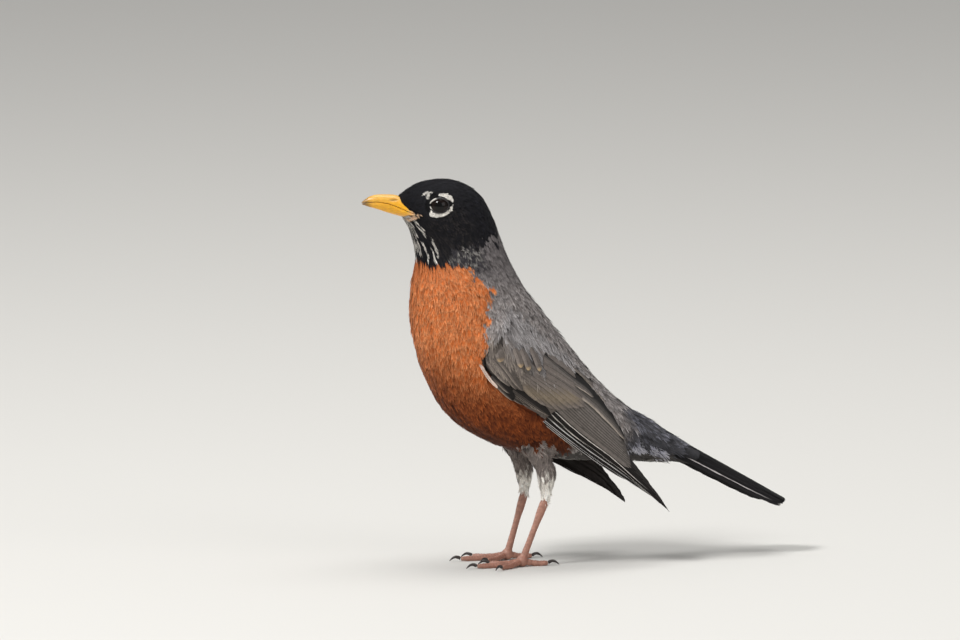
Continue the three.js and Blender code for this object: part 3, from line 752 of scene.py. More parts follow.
# %% Scatter the roots
TRIES = 180000
triangle = skin_points[skin_triangles]
edge_1, edge_2 = triangle[:, 1] - triangle[:, 0], triangle[:, 2] - triangle[:, 0]
area = np.linalg.norm(np.cross(edge_1, edge_2), axis=1) / 2
middle = straight(triangle.mean(1))
middle_place, middle_around, _ = lie(middle)
crowd = area / feather_size(middle, middle_place, middle_around)[:, 2] ** 2
picked = chance.choice(len(crowd), TRIES, p=crowd / crowd.sum())
share = chance.random((TRIES, 2))
share = np.where(share.sum(1, keepdims=True) > 1, 1 - share, share)
roots = triangle[picked, 0] + edge_1[picked] * share[:, :1] + edge_2[picked] * share[:, 1:]
normals = np.cross(edge_1, edge_2)[picked]
normals = unit(normals)
at = straight(roots)
place, around, way = lie(at)
a, b, proud = wing_map(at)
print("skin area:", round(area.sum() / 100), "square cm, roots tried:", len(roots))

# %% [markdown]
# The places where no small feather grows are left out before the thinning: the eye, the inside of the
# bill, the part of the wing that the long feathers cover, and the flank underneath it.

# %% Leave out what is covered
WING_THICKNESS = 3.5
COVERT_LINE = np.array(  # a and b on the wing's map, where the small feathers give way to the coverts
    [[-4, -1], [2, 2.5], [9, 6], [13, 8], [18, 10.7], [21, 13.5], [24, 16.5], [28, 20], [32, 24], [36, 31]]
)


def grows(at, place, a, b, proud):
    """Whether a small feather grows at straight points."""
    eye, angle = around_eye(at)
    turn = np.degrees(angle) % 360
    front_rim = (eye < 1.4) & (turn > 105) & (turn < 212)
    in_eye = ((eye < 1.08) | front_rim) & (at[:, 2] > 160) & (abs(at[:, 1]) > 7)
    in_bill = (at[:, 0] < np.interp(at[:, 2], *BILL_EDGE.T)) | (at[:, 0] < -57.6)
    lead, trail = leading_edge(a), np.interp(a, WING_TABLE[:, 0], WING_TABLE[:, 3])
    rows = a > np.interp(b, COVERT_LINE[:, 1], COVERT_LINE[:, 0]) + 1
    under_vanes = (proud > -WING_THICKNESS) & rows & (b > lead - 0.2) & (b < 27) & (a < ARM_LENGTH)
    under_wing = (proud < -WING_THICKNESS) & (a > 12) & (a < 62) & (b > lead + 3) & (b < trail - 4)
    under_tail_feathers = place > 14.8
    return ~(in_eye | in_bill | under_vanes | under_wing | under_tail_feathers)


# %% Thin the roots
keep = grows(at, place, a, b, proud)
sizes = feather_size(at, place, around)


def thinned(points, clear, candidates):
    """Candidates that keep a clear circle round each other."""
    tree = KDTree(len(candidates))
    for i, j in enumerate(candidates):
        tree.insert(points[j], i)
    tree.balance()
    free, chosen = np.ones(len(candidates), bool), []
    for i, j in enumerate(candidates):
        if free[i]:
            chosen.append(j)
            for _, other, _ in tree.find_range(points[j], clear[j]):
                free[other] = False
    return np.array(chosen)


chosen = thinned(roots, sizes[:, 2], np.flatnonzero(keep))
grown = roots, normals, at, place, around, way, sizes
roots, normals, at, place, around, way, sizes = (values[chosen] for values in grown)
_, wing_b, _ = wing_map(at)
print("body feathers:", len(roots))

# %% [markdown]
# ## Which way each feather points
# The lie comes from the hoops. Round the eye the feathers part, like water round a stone. On the
# shoulder of the wing they turn towards the wing's tip, and on the shins they hang straight down.
# The lie of the head is turned with it.

# %% The lie of each feather
eye, _ = around_eye(at)
from_eye = np.stack([at[:, 0] - EYE_OPENING[0], 0 * eye, at[:, 2] - EYE_OPENING[1]], 1)
from_eye /= np.linalg.norm(from_eye, axis=1)[:, None] + 1e-9
part = (1 - smooth(eye, 1.1, 2.3)) * (at[:, 2] > THROAT_HEIGHT) * (at[:, 0] < FACE_END)
way = way + from_eye * (part * 1.6)[:, None]
ring = white_ring(at)
along_ring = np.stack([from_eye[:, 2], 0 * eye, -from_eye[:, 0]], 1)
along_ring *= np.where(along_ring[:, :1] < 0, -1, 1)
way = pick(ring, along_ring + from_eye * 0.15, way)
shoulder = wing_zone(at)
to_tip = np.array([WING_WAY[0], 0, WING_WAY[1]])
turned = np.where(shoulder, 0.25, 0) + np.where(shoulder & (wing_b < 3), 1.4, 0) + 0.9 * tucked(at)
way = way + to_tip * turned[:, None]
to_tail = np.array([0.9, 0, -0.44])
way = mix(unit(way), to_tail, 0.85 * smooth(place, 12.6, 14.2))
shin = is_shin(at)
way = pick(shin, np.array([0.12, 0, -1.0]), way)
ahead = posed(at + way * 0.5) - posed(at)
ahead -= normals * dot(ahead, normals)[:, None]
ahead = unit(ahead)
print("feathers on the shoulders:", shoulder.sum(), "and on the shins:", shin.sum())

# %% [markdown]
# ## A feather as a fan of barbs
# A real body feather is a shaft with fine barbs on both sides, soft at the edge. Blender's hair could
# give single barbs, or a texture with see-through edges a whole feather, but neither keeps its shape
# as plain triangles. Each feather here is a fan of narrow tapering strips, each a few barbs together.
# Points found on the skin under the root, the middle and the tip bend the shaft over the body, and two
# more bend its sides. The fan rises from the root to the depth of the coat, so each lies on the next.

# %% Bend the shaft over the skin
def nearest_skin(points):
    """The nearest place on the skin to each point, and the skin's normal there."""
    found = [skin_tree.find_nearest(p)[:2] for p in points]
    return np.array([f[0] for f in found]), np.array([f[1] for f in found])


def shaft_on_skin(root, up, ahead, length, half):
    """The middle and the tip of each shaft with their normals, the way across, and how the sides sag.

    The lowest feathers of the shins hang free below the skin, over the top of the bare leg.
    """
    middle, middle_up = nearest_skin(root + ahead * length * 0.5)
    on = middle - root
    on -= middle_up * dot(on, middle_up)[:, None]
    on /= np.linalg.norm(on, axis=1)[:, None] + 1e-9
    tip, tip_up = nearest_skin(middle + on * length * 0.5)
    free = (root[:, 2:] < 36.5) & (abs(ahead[:, 2:]) > 0.7)
    hanging = root + (ahead * 0.6 + np.array([0, 0, -0.4])) * length
    middle, middle_up = np.where(free, (root + hanging) / 2, middle), np.where(free, up, middle_up)
    tip, tip_up = np.where(free, hanging, tip), np.where(free, up, tip_up)
    side = np.cross(middle_up, on)
    sag = []
    for sign in (-1, 1):
        spot, _ = nearest_skin(middle + side * half * sign)
        sag.append(np.clip(dot(spot - middle, middle_up), -1.2, 0.3))
    return middle, middle_up, tip, tip_up, side, sag


# %% Spread the barbs
BARB_STEPS = np.array([0, 0.42, 0.78, 1.0])
BARB_WIDTHS = np.array([0.8, 1.0, 0.62, 0.0])


def barb_shapes(length, width, barbs):
    """For every point of every barb, how far along its feather, how far across, and its lift."""
    count, half = len(length), width / 2
    q = np.linspace(-1, 1, barbs)[None] + chance.uniform(-0.5, 0.5, (count, barbs)) / barbs
    start = 0.14 + 0.5 * (1 - abs(q))
    end = 1 - 0.36 * abs(q) ** 2.1 + 0.1 * chance.standard_normal((count, barbs))
    reach = np.sin(np.clip(q, -1, 1) * np.pi / 2)
    steps = BARB_STEPS[None, None]
    s = start[..., None] + (end - start)[..., None] * steps
    x = reach[..., None] * steps**0.75 * half[:, :, None]
    run, out = (end - start)[..., None] * length[..., None], reach[..., None] * half[:, :, None]
    slope = np.sqrt(run**2 + out**2) + 1e-9
    wide = width[:, :, None] / barbs * 0.9 * BARB_WIDTHS[None, None]
    roll = chance.uniform(-0.18, 0.18, (count, barbs))[..., None] * wide
    rows = []
    for sign in (-1, 1):
        back = s - sign * wide * out / slope / length[..., None]
        rows.append((back, x + sign * wide * run / slope, sign * roll))
    return (np.stack(both, -1).reshape(count, barbs, -1)[..., :-1] for both in zip(*rows))


# %% Lay the fans
def body_fans(root, up, ahead, size, depth, barbs):
    """Points of every barb, and how far along and across its feather each lies."""
    length, width = size[:, 0:1], size[:, 1:2]
    half = width / 2
    middle, middle_up, tip, tip_up, side, sag = shaft_on_skin(root, up, ahead, length, half)
    rise = depth * (1 + 0.16 * chance.standard_normal(len(root)))
    p0, p1, p2 = root - up * 0.1, middle + middle_up * (rise * 0.62)[:, None], tip + tip_up * rise[:, None]
    s, x, lift = barb_shapes(length, width, barbs)
    t = s[..., None]
    line = (
        p0[:, None, None] * (1 - t) * (1 - 2 * t)
        + p1[:, None, None] * 4 * t * (1 - t)
        + p2[:, None, None] * t * (2 * t - 1)
    )
    bent = up[:, None, None] * (1 - t) + tip_up[:, None, None] * t
    hang = np.where(x < 0, sag[0][:, None, None], sag[1][:, None, None]) * (x / half[..., None]) ** 2
    points = line + side[:, None, None] * x[..., None] + bent * (hang + lift)[..., None]
    return points, s, x / width[..., None]


BARB_FACES = np.array([[0, 1, 3], [0, 3, 2], [2, 3, 5], [2, 5, 4], [4, 5, 6]])


# %% [markdown]
# ## Plumage in pieces
# Each region of the body is a piece of its own, named for the bird's own part. A feather keeps its
# root's colour for most of its length and turns to the tip's colour at the end, and no two feathers,
# nor two barbs of one, are quite alike.

# %% Dress a region
MARK_SHARE = 0.6  # a feather takes the marking that lies this far along it
small = white_ring(at) | white_spot(at) | gape(at)
marked = straight(roots + ahead * (sizes[:, :1] * np.where(small, 0.2, MARK_SHARE)[:, None]))
marked_place, marked_around, _ = lie(marked)


def dressed(name, which, barbs):
    """One mesh of all the feathers in a region."""
    r, size = at[which], sizes[which].copy()
    loose = np.where(is_shin(r), 2.0, 1.0)
    size[:, 0] *= 1 + 0.1 * loose * chance.standard_normal(len(size))
    calm = 1 - 0.65 * smooth(around[which], 0.5, 0.6) * (place[which] < 6)
    swing = (0.13 * loose * calm * chance.standard_normal(len(size)))[:, None]
    heading = ahead[which] + np.cross(normals[which], ahead[which]) * swing
    depth = np.minimum(coat_depth(r), 1.3) + 0.1 - 0.4 * tucked(r)
    points, s, across = body_fans(roots[which], normals[which], heading, size, depth, barbs)
    base, tip = plumage(marked[which], marked_place[which], marked_around[which])
    sides = smooth(abs(across), 0.15, 0.45) * smooth(s, 0.35, 0.6)
    blend = (0.55 * smooth(s, 0.7, 1.0) + 0.45 * sides)[..., None]
    uneven = np.where(marked_around[which] < 0.5, 0.17, 0.11)[:, None, None]
    shade = 1 + uneven * chance.standard_normal((len(r), 1, 1))
    shade = shade + 0.15 * chance.standard_normal(s.shape[:2] + (1,))
    # Painted shade: each barb darkens towards its feather's root, where the feathers before it lie over it.
    root_shade = (0.78 + 0.22 * smooth(s, 0.1, 0.6))[..., None]
    colour = (base[:, None, None] * (1 - blend) + tip[:, None, None] * blend) * shade[..., None] * root_shade
    colour = np.clip(colour, 0, 1)
    sheet = unwrap(r, place[which], around[which])
    low, high = sheet.min(0), sheet.max(0)
    sheet = 0.01 + 0.98 * (sheet - low) / (high - low)
    uv = sheet[:, None, None] + np.stack([across, s - 0.5], -1) * 0.003
    fans = len(r) * barbs
    faces = (BARB_FACES[None] + np.arange(fans)[:, None, None] * 7).reshape(-1, 3)
    print(name, len(r), "feathers", len(faces), "triangles")
    uv = np.clip(uv.reshape(-1, 2), 0, 1)
    return make_mesh(name, points.reshape(-1, 3), faces, colour.reshape(-1, 3), uv)


# %% Dress all the regions
hooded = marked_place < np.interp(marked_around, *HOOD_EDGE.T)
orange = marked_around > np.interp(marked_place, *ORANGE_EDGE.T)
rear = place > 12.6
REGIONS = {
    "hood_plumage": hooded & (around < 0.7),
    "throat_plumage": hooded & (around >= 0.7),
    "shin_plumage": shin,
    "shoulder_plumage": ~hooded & ~shin & shoulder,
    "breast_plumage": ~hooded & ~shin & orange & (place <= 9.6),
    "belly_plumage": ~hooded & ~shin & orange & (place > 9.6),
}
taken = np.zeros(len(at), bool)
plumes = {}
for name, inside in REGIONS.items():
    plumes[name] = dressed(name, np.flatnonzero(inside & ~taken), 8 if hooded[inside].all() else 12)
    taken |= inside
plumes["mantle_plumage"] = dressed("mantle_plumage", np.flatnonzero(~taken & ~rear), 13)
plumes["rump_plumage"] = dressed("rump_plumage", np.flatnonzero(~taken & rear), 13)

# %% [markdown]
# ## Long feathers
# A wing or tail feather has a stiff shaft and two webs, a narrow outer one and a broad inner one, and
# its barbs slope towards the tip. One shape could be copied for them all, but no two are the same
# length or curve. So each is one grid of points laid over the wing's or the tail's map, and it starts
# from the line of its outer edge, because that is what shows when the wing is folded.

# %% A smooth outer edge
def smooth_line(points, places):
    """A smooth curve through map points, at places from 0 to 1 along its length."""
    p = np.array(points, float)
    p = np.vstack([2 * p[0] - p[1], p, 2 * p[-1] - p[-2]])
    s = np.linspace(0, len(points) - 1, 120)
    i = np.minimum(s.astype(int), len(points) - 2)
    t = (s - i)[:, None]
    a, b, c, d = p[i], p[i + 1], p[i + 2], p[i + 3]
    square, cube = 2 * a - 5 * b + 4 * c - d, 3 * b - a - 3 * c + d
    line = 0.5 * (2 * b + (c - a) * t + square * t * t + cube * t**3)
    far = np.concatenate([[0], np.cumsum(np.linalg.norm(np.diff(line, axis=0), axis=1))])
    at = places * far[-1]
    return np.stack([np.interp(at, far, line[:, 0]), np.interp(at, far, line[:, 1])], 1), far[-1]


# %% One vane
# The rows of points along a feather lie closer together towards its rounded tip.
ROWS = np.concatenate([np.linspace(0, 0.8, 26)[:-1], 1 - 0.2 * (1 - np.linspace(0, 1, 18)) ** 1.6])


def vane(edge, outer, inner, lift, look, surface, tip_length=9.0, edge_width=0.45, turn=1):
    """Points, faces, colours and barb places of one long feather.

    edge is the outer edge on the map, outer and inner the widths of the webs in millimetres, lift the
    height above the surface. look gives the web's colours, and turn is -1 where outer lies above.
    """
    line, length = smooth_line(edge, ROWS)
    forward = np.gradient(line, axis=0)
    forward = unit(forward)
    across = np.stack([-forward[:, 1], forward[:, 0]], 1) * turn
    left = (1 - ROWS) * length / tip_length
    round_end = np.sqrt(np.clip(1 - (1 - np.clip(left, 0, 1)) ** 2, 0, 1))
    grow = 0.55 + 0.45 * smooth(ROWS, 0, 0.35)
    rim = min(edge_width / outer, 0.4)
    q = np.array([-1, -1 + rim * 0.7, -1 + rim, -0.45, -0.1, -0.05, 0, 0.03, 0.06, 0.35, 0.65, 0.9, 1])
    widest = np.where(q < 0, outer, inner)[None] * q[None]
    web = widest * round_end[:, None] * np.where(q > 0, grow[:, None], 1)
    ragged = 1 + 0.03 * chance.standard_normal(web.shape) * (abs(q) > 0.8)
    shaft = line + across * outer
    slant = abs(web) * 0.5 * round_end[:, None]  # barbs slope towards the tip
    spot = shaft[:, None] + across[:, None] * (web * ragged)[..., None]
    spot = spot + forward[:, None] * slant[..., None]
    camber = 0.16 * (1 - q**2)[None] + 0.14 * (abs(q) < 0.04)[None]
    height = lift + camber - 0.25 * np.clip(q, 0, 1)[None] ** 2
    points = surface(spot[..., 0], spot[..., 1], np.broadcast_to(height, web.shape))
    rows, columns = web.shape
    grid = np.arange(rows * columns).reshape(rows, columns)
    faces = np.stack([grid[:-1, :-1], grid[1:, :-1], grid[1:, 1:], grid[:-1, 1:]], -1).reshape(-1, 4)
    u, qq = np.broadcast_to(ROWS[:, None], web.shape), np.broadcast_to(q[None], web.shape)
    colour = look(u, qq, u * length)
    colour = np.clip(colour * (1 + 0.06 * chance.standard_normal()), 0, 1)
    barbs = np.stack([u * length * 0.01, qq * 0.5 + 0.5], -1)
    return points.reshape(-1, 3), faces, colour.reshape(-1, 3), barbs.reshape(-1, 2)


# %% [markdown]
# ## Colours of the long feathers
# A texture for each feather would need a file of its own. Instead each web's colour is a function
# of how far along the feather and how far across it a point lies. A primary is black with a thin pale
# edge, but for the innermost. Secondaries and tertials have a greyer outer web, the greater coverts
# have an olive wash, and the median ones end in a buff tip.

# %% The look of a web
def web_look(outer, inner, edge, fade=(0.0, 0.04, 0.86, 0.97), tip=None, tip_reach=2.5, tip_side=1.0,
             rim=0.8, dark=None):  # fmt: skip
    """A function that colours a feather from u along it, q across it and its reach in millimetres.

    outer, inner and edge are the colours of the webs and of the outer web's rim, which comes and goes
    as fade says. tip colours the last tip_reach millimetres, and dark is the q where a shadow begins.
    """

    def look(u, q, reach):
        t = smooth(q, -0.25, 0.15)[..., None]
        colour = outer * (1 - t) + inner * t
        if dark is not None:
            shade = smooth(q, dark, dark + 0.2)[..., None]
            colour = colour * (1 - shade) + QUILL * 0.3 * shade
        shaft = (abs(q) < 0.04)[..., None]
        colour = np.where(shaft, colour * 0.55, colour)
        pale = (q <= -rim) * smooth(u, *fade[:2]) * (1 - smooth(u, *fade[2:]))
        colour = colour * (1 - pale[..., None]) + edge * pale[..., None]
        if tip is not None:
            length = reach.max()
            end = smooth(reach + abs(q) * 0.6, length - tip_reach, length - 0.2)
            end = end * np.where(q > 0.1, tip_side, 1)
            colour = colour * (1 - end[..., None]) + tip * end[..., None]
        return colour

    return look


# %% Looks for each kind of feather
PRIMARY = web_look(QUILL * 0.35, QUILL * 0.7, QUILL_EDGE * 1.7, (0.1, 0.14, 0.82, 0.95))
# Partly painted light: the lower primaries' pale edges are painted brighter than the others', since they
# face down, away from the lights.
LOW_PRIMARY = web_look(QUILL * 0.35, QUILL * 0.7, QUILL_EDGE * 2.3, (0.14, 0.2, 0.82, 0.94))
OUTER_PRIMARY = web_look(QUILL * 0.35, QUILL * 0.7, QUILL_EDGE * 1.4, (0.3, 0.4, 0.6, 0.8))
INNER_PRIMARY = web_look(QUILL * 0.35, QUILL * 0.7, QUILL * 0.5)
SECONDARY = web_look(QUILL_PANEL, QUILL_PANEL * 0.55, QUILL_PANEL, (0.2, 0.3, 0.9, 1.0))
TERTIAL = web_look(
    QUILL_PANEL * 0.85, QUILL_PANEL * 0.65, COVERT_EDGE * 1.25, (0.35, 0.5, 0.93, 1.0), dark=0.0
)
GREATER = web_look(COVERT * 0.95, COVERT * 0.74, COVERT * 1.15, (0.1, 0.3, 0.9, 1.0))
MEDIAN_BUFF = web_look(
    COVERT, COVERT * 0.7, COVERT * 1.15, (0.1, 0.3, 0.9, 1.0), COVERT_TIP * 1.2, tip_reach=2.4, tip_side=0.6
)
PRIMARY_COVERT = web_look(COVERT * 0.45, QUILL * 0.45, COVERT_EDGE, (0.1, 0.4, 0.9, 1.0))
MARGINAL = web_look(COVERT * 0.9, COVERT * 0.5, COVERT_EDGE * 0.9, (0.1, 0.3, 0.9, 1.0))


def warmed(u, q, reach):
    """A greater covert with an olive wash before its tip."""
    wash = (smooth(u, 0.25, 0.7) * (1 - smooth(u, 0.7, 0.97)) * 0.45)[..., None]
    return GREATER(u, q, reach) * (1 - wash) + OLIVE * wash


WRIST_EDGE = srgb("#efd9cb")
WRIST = web_look(WRIST_EDGE, WRIST_EDGE * 0.8, WRIST_EDGE)

# %% [markdown]
# ## The wing's feathers
# The primaries form the point of the folded wing. The secondaries lie over them, then the tertials,
# and rows of coverts lie over the bases of all of them: primary, marginal, greater and median. The
# outermost primary is the deepest layer, and each feather after it lies a little above the last.

# %% Lines of the wing
PRIMARIES = [  # outer edge on the map, outer web, inner web, height
    ([(22, -9.1), (38.5, -8.2), (55.3, -7.9), (71.6, -7.2), (82, -6.2)], 1.2, 5, -2.9),
    ([(21, -7.7), (42.5, -7.2), (64.2, -6.7), (84.7, -5.3), (94, -3.9)], 1.2, 5.5, -2.65),
    ([(28, -6.1), (53, -6.1), (76, -4.9), (98, -2.7), (112, -0.9)], 1.4, 6.5, -2.4),
    ([(30, -4.0), (45.2, -4.4), (57.5, -4.3), (69.2, -3.8), (91.7, -1.9), (104, -1.1), (118, -0.7)],
     1.7, 7, -2.15),
    ([(33, -1.1), (47.2, -2.5), (58.7, -2.9), (70, -2.0), (80, -1.3), (91, -0.2), (115.5, 0.3)],
     1.9, 7, -1.9),
    ([(34, 0.6), (46.3, -0.1), (55.8, -0.3), (64.9, 0), (73.8, 0.9), (82.7, 1.7), (92, 1.9), (108, 1.2)],
     2, 7, -1.65),
    ([(36, 2.2), (60, 1.2), (80, 2.2), (99, 2.4)], 2.2, 7, -1.5),
    ([(36, 3.0), (60, 2.0), (80, 3.2), (94, 3.4)], 2.2, 7, -1.4),
]  # fmt: skip
SECONDARIES = [([(38, 1.3), (54, 0.7), (69, 1.3), (84, 2.6), (91, 3.3)], 2.0, 7, -1.4)]
SECONDARIES += [
    ([(38, 2.4 + 1.2 * i), (54, 1.8 + 1.2 * i), (69, 1.8 + 1.14 * i), (84, 3.1 + 0.84 * i),
      (90.5 - 0.95 * i, 3.8 + 0.75 * i)], 2.0, 7, -1.3 + 0.11 * i)
    for i in range(6)
]  # fmt: skip
SECONDARIES += [
    ([(38, 9.6), (54, 9.0), (69, 8.6), (78, 8.7), (83, 9.0)], 2.0, 6, -0.64),
    ([(38, 10.8), (54, 10.2), (68, 9.8), (76, 9.9), (81, 10.2)], 2.0, 5, -0.53),
    ([(38, 12.0), (54, 11.4), (68, 11.0), (79, 11.2)], 2.0, 4, -0.42),
]
TERTIALS = [  # the last number is how far before the tip the web begins to narrow
    ([(24, 14.2), (40, 14.0), (51.3, 13.9), (59.3, 14.2), (63.6, 13.9), (72.6, 13.0), (83, 11.4)],
     2.4, 7.6, -0.1, 26),
    ([(36, 23.0), (50, 23.2), (58, 22.4), (64, 21.2), (68, 20.0)], 0.9, 2.4, 0.05, 8),
    ([(24, 16.4), (40, 16.6), (47.3, 17.0), (52.7, 17.6), (57.2, 17.2)], 1.5, 4.4, 0.2, 11),
    ([(22, 22.6), (34, 23.0), (46, 23.2), (56, 23.2)], 1.1, 2.4, 0.35, 8),
]  # fmt: skip

# %% Lines of the coverts
GREATER_TIPS = [(34, -0.2), (37.6, 0.3), (41, 1.4), (44, 3.0), (46.4, 5.0), (48.4, 7.4), (51.2, 9.4),
                (53.6, 11.8), (51, 14.6), (47, 17.2), (45, 20.4)]  # fmt: skip
MEDIAN_TIPS = [(6.6, 2.7), (15.2, 6.4), (19.0, 7.7), (24, 10.7)]
PRIMARY_COVERT_TIPS = [(31, -6.2), (34, -5.0), (37, -4.0), (40, -3.2), (43, -2.4)]
MARGINAL_LINES = [
    [(3.4, -1.4), (8, -3.0), (13, -4.0), (18.5, -4.5)],
    [(4, 0.4), (10, -0.8), (16, -2.4), (21.5, -3.8)],
    [(5, 1.8), (11, 0.6), (17, -1.0), (24, -2.4)],
]
WRIST_LINE = [3, 7.5, 10.6, 13.3, 16], [-3.0, -4.9, -5.8, -6.5, -6.9]  # white leading edge: a, then b
ALULA_TIPS = [(25.5, -7.2), (21.5, -5.6)]


def row_line(tip, length, angle, outer, bend=0.0):
    """The outer edge of a short feather that ends at a map point."""
    c, s = math.cos(angle), math.sin(angle)
    a, b = tip[0], tip[1] - outer
    return [(a - length * c, b - length * s), (a - length * c / 2, b - length * s / 2 + bend), (a, b)]


# %% Build both wings
def wing_vanes(side):
    """Every long feather of one wing, from the deepest layer up."""
    surface, made = on_wing(side), []

    def lay(line, webs, lift, look, tip_length, edge_width=0.3):
        made.append(vane(line, *webs, lift, look, surface, tip_length, edge_width))

    looks = [OUTER_PRIMARY] + [LOW_PRIMARY] * 3 + [PRIMARY] * 2 + [INNER_PRIMARY] * 2
    for look, (edge, outer, inner, lift) in zip(looks, PRIMARIES):
        lay(edge, (outer, inner), lift, look, 22, 0.8)
    for edge, outer, inner, lift in SECONDARIES:
        lay(edge, (outer, inner), lift, SECONDARY, 11)
    for edge, outer, inner, lift, tip_length in TERTIALS:
        lay(edge, (outer, inner), lift, TERTIAL, tip_length, 0.4)
    for i, tip in enumerate(ALULA_TIPS):
        lay(row_line(tip, 13 - i, -0.1, 1.3), (1.3, 2.4), -0.4 + 0.2 * i, PRIMARY_COVERT, 8, 0.25)
    for i, tip in enumerate(PRIMARY_COVERT_TIPS):
        lay(row_line(tip, 22, 0.06, 1.3), (1.3, 2.6), -1.2 + 0.1 * i, PRIMARY_COVERT, 13)
    for i, line in enumerate(MARGINAL_LINES):
        lay(line, (1.1, 1.7), -0.1 + 0.1 * i, MARGINAL, 11)
    for i, tip in enumerate(GREATER_TIPS):
        line = row_line(tip, 31 - i, -0.06 + 0.02 * i, 2.0, 0.5)
        lay(line, (2.0, 4.6), -0.65 + 0.08 * i, warmed if i < 8 else GREATER, 9)
    for i, tip in enumerate(MEDIAN_TIPS):
        lay(row_line(tip, 8 + i, -0.6, 1.6, 0.3), (1.6, 2.2), 0.3 + 0.05 * i, MEDIAN_BUFF, 5)
    for i in range(0 if side == "left" else 4, 11):  # the right wrist lies against the breast
        a = 3.6 + 1.2 * i
        b, wide = np.interp(a, *WRIST_LINE), 0.25 + 0.03 * i
        lay(row_line((a, b), 5.5, -0.32 + 0.02 * i, wide), (wide, wide), 0.45, WRIST, 3, 0.2)
    return made


# %% Put the wings together
def vane_piece(name, made):
    """Several vanes as one mesh, with an unwrap map and a map of their barbs."""
    points, faces = joined([(m[0], m[1]) for m in made])
    side = math.ceil(math.sqrt(len(made)))
    sheet = []
    for i, m in enumerate(made):
        uv = np.stack([m[3][:, 1], m[3][:, 0] / m[3][:, 0].max()], 1)
        sheet.append((np.array([i % side, i // side]) + 0.02 + 0.96 * uv) / side)
    piece = make_mesh(name, points, faces, np.concatenate([m[2] for m in made]), np.concatenate(sheet))
    barbs = piece.data.uv_layers.new(name="barbs")
    corners = np.concatenate([m[3] for m in made])[faces.ravel()]
    barbs.data.foreach_set("uv", corners.astype(np.float32).ravel())
    piece.data.uv_layers["OFBake"].active = True
    print(name, len(made), "feathers", len(faces), "quads")
    return piece


for side in SIGN:
    plumes["wing_feathers_" + side] = vane_piece("wing_feathers_" + side, wing_vanes(side))

# %% [markdown]
# ## The tail
# A robin's tail has twelve feathers. They are folded here like a closed fan, the middle pair on top and
# each pair outside it a little lower, so that their edges show as steps along each side, as they do on
# the bird. On the tail's map `a` runs back along the ridge from the rump and `b` across, left negative.

# %% Tail feathers
RIDGE_START, RIDGE_END = np.array([52, 69.5]), np.array([131.2, 24.6])
RIDGE_LENGTH = float(np.linalg.norm(RIDGE_END - RIDGE_START))


def on_tail(a, b, lift):
    """Millimetres in the CAD's frame for a place on the tail's map, which sags towards both sides."""
    t = np.clip(a / RIDGE_LENGTH, 0, 1.1)
    half, drop = 8.5 + 5 * np.sqrt(t), 10 - 4.8 * t
    down = (RIDGE_END - RIDGE_START) / RIDGE_LENGTH
    up = np.array([-down[1], down[0]])
    fall = drop * (abs(b) / half) ** 2
    x = RIDGE_START[0] + down[0] * a + up[0] * (lift - 0.3)
    z = RIDGE_START[1] + down[1] * a + up[1] * (lift - 0.3) - fall
    return posed(np.stack([x, b, z], -1))


RECTRIX = web_look(TAIL, TAIL * 0.8, TAIL * 2.0, (0.3, 0.5, 0.85, 1.0))
PALE_RECTRIX = web_look(TAIL, TAIL * 0.8, MANTLE_EDGE * 0.9, (0.12, 0.26, 0.72, 0.9), rim=0.88)
OUTER_RECTRIX = web_look(TAIL, TAIL * 0.7, TAIL * 1.5, (0.2, 0.4, 0.9, 1.0), CHALK * 0.35, 2.5, 1.0)
tail_vanes = []
for pair in range(5, -1, -1):
    for turn in (-1, 1):
        shorter, lower = (0.8, 0.12) if turn > 0 else (0, 0)  # so that the halves don't mirror
        reach = RIDGE_LENGTH + 0.6 - 0.28 * pair**1.9 - shorter
        outer, inner, fan = 3.8 - 0.25 * pair, 6.0, 0.3 + 0.135 * pair
        edge = [(a, turn * fan * (8.5 + 5 * math.sqrt(a / RIDGE_LENGTH))) for a in (18, 45, 70)]
        edge.append((reach, turn * (fan * 13.4 - 0.35 * outer)))
        look = {5: OUTER_RECTRIX, 4: PALE_RECTRIX}.get(pair, RECTRIX)
        lift = -0.3 * pair - lower
        tail_vanes.append(vane(edge, outer, inner, lift, look, on_tail, 9, 0.45, -turn))
plumes["tail_feathers"] = vane_piece("tail_feathers", tail_vanes)

# %% [markdown]
# ## The eyes
# A robin's eye is a dark brown iris round a black pupil, under a clear wet cornea. Only the front of
# the ball shows, framed by thin dark lids. A glass cornea over a painted ball would be nearer to the
# real thing, but at this size one wet surface looks the same. The ball is a sphere at the CAD eye's own
# place and size, with rings of colour measured from its pole. The lid is a rounded rim laid on it.

# %% Eyeballs
EYE_CENTRE, EYE_RADIUS = np.array([-38.8, 9.6, 166.8]), 4.8
PUPIL, IRIS = srgb("#030202"), srgb("#120805")
LID = srgb("#242122")


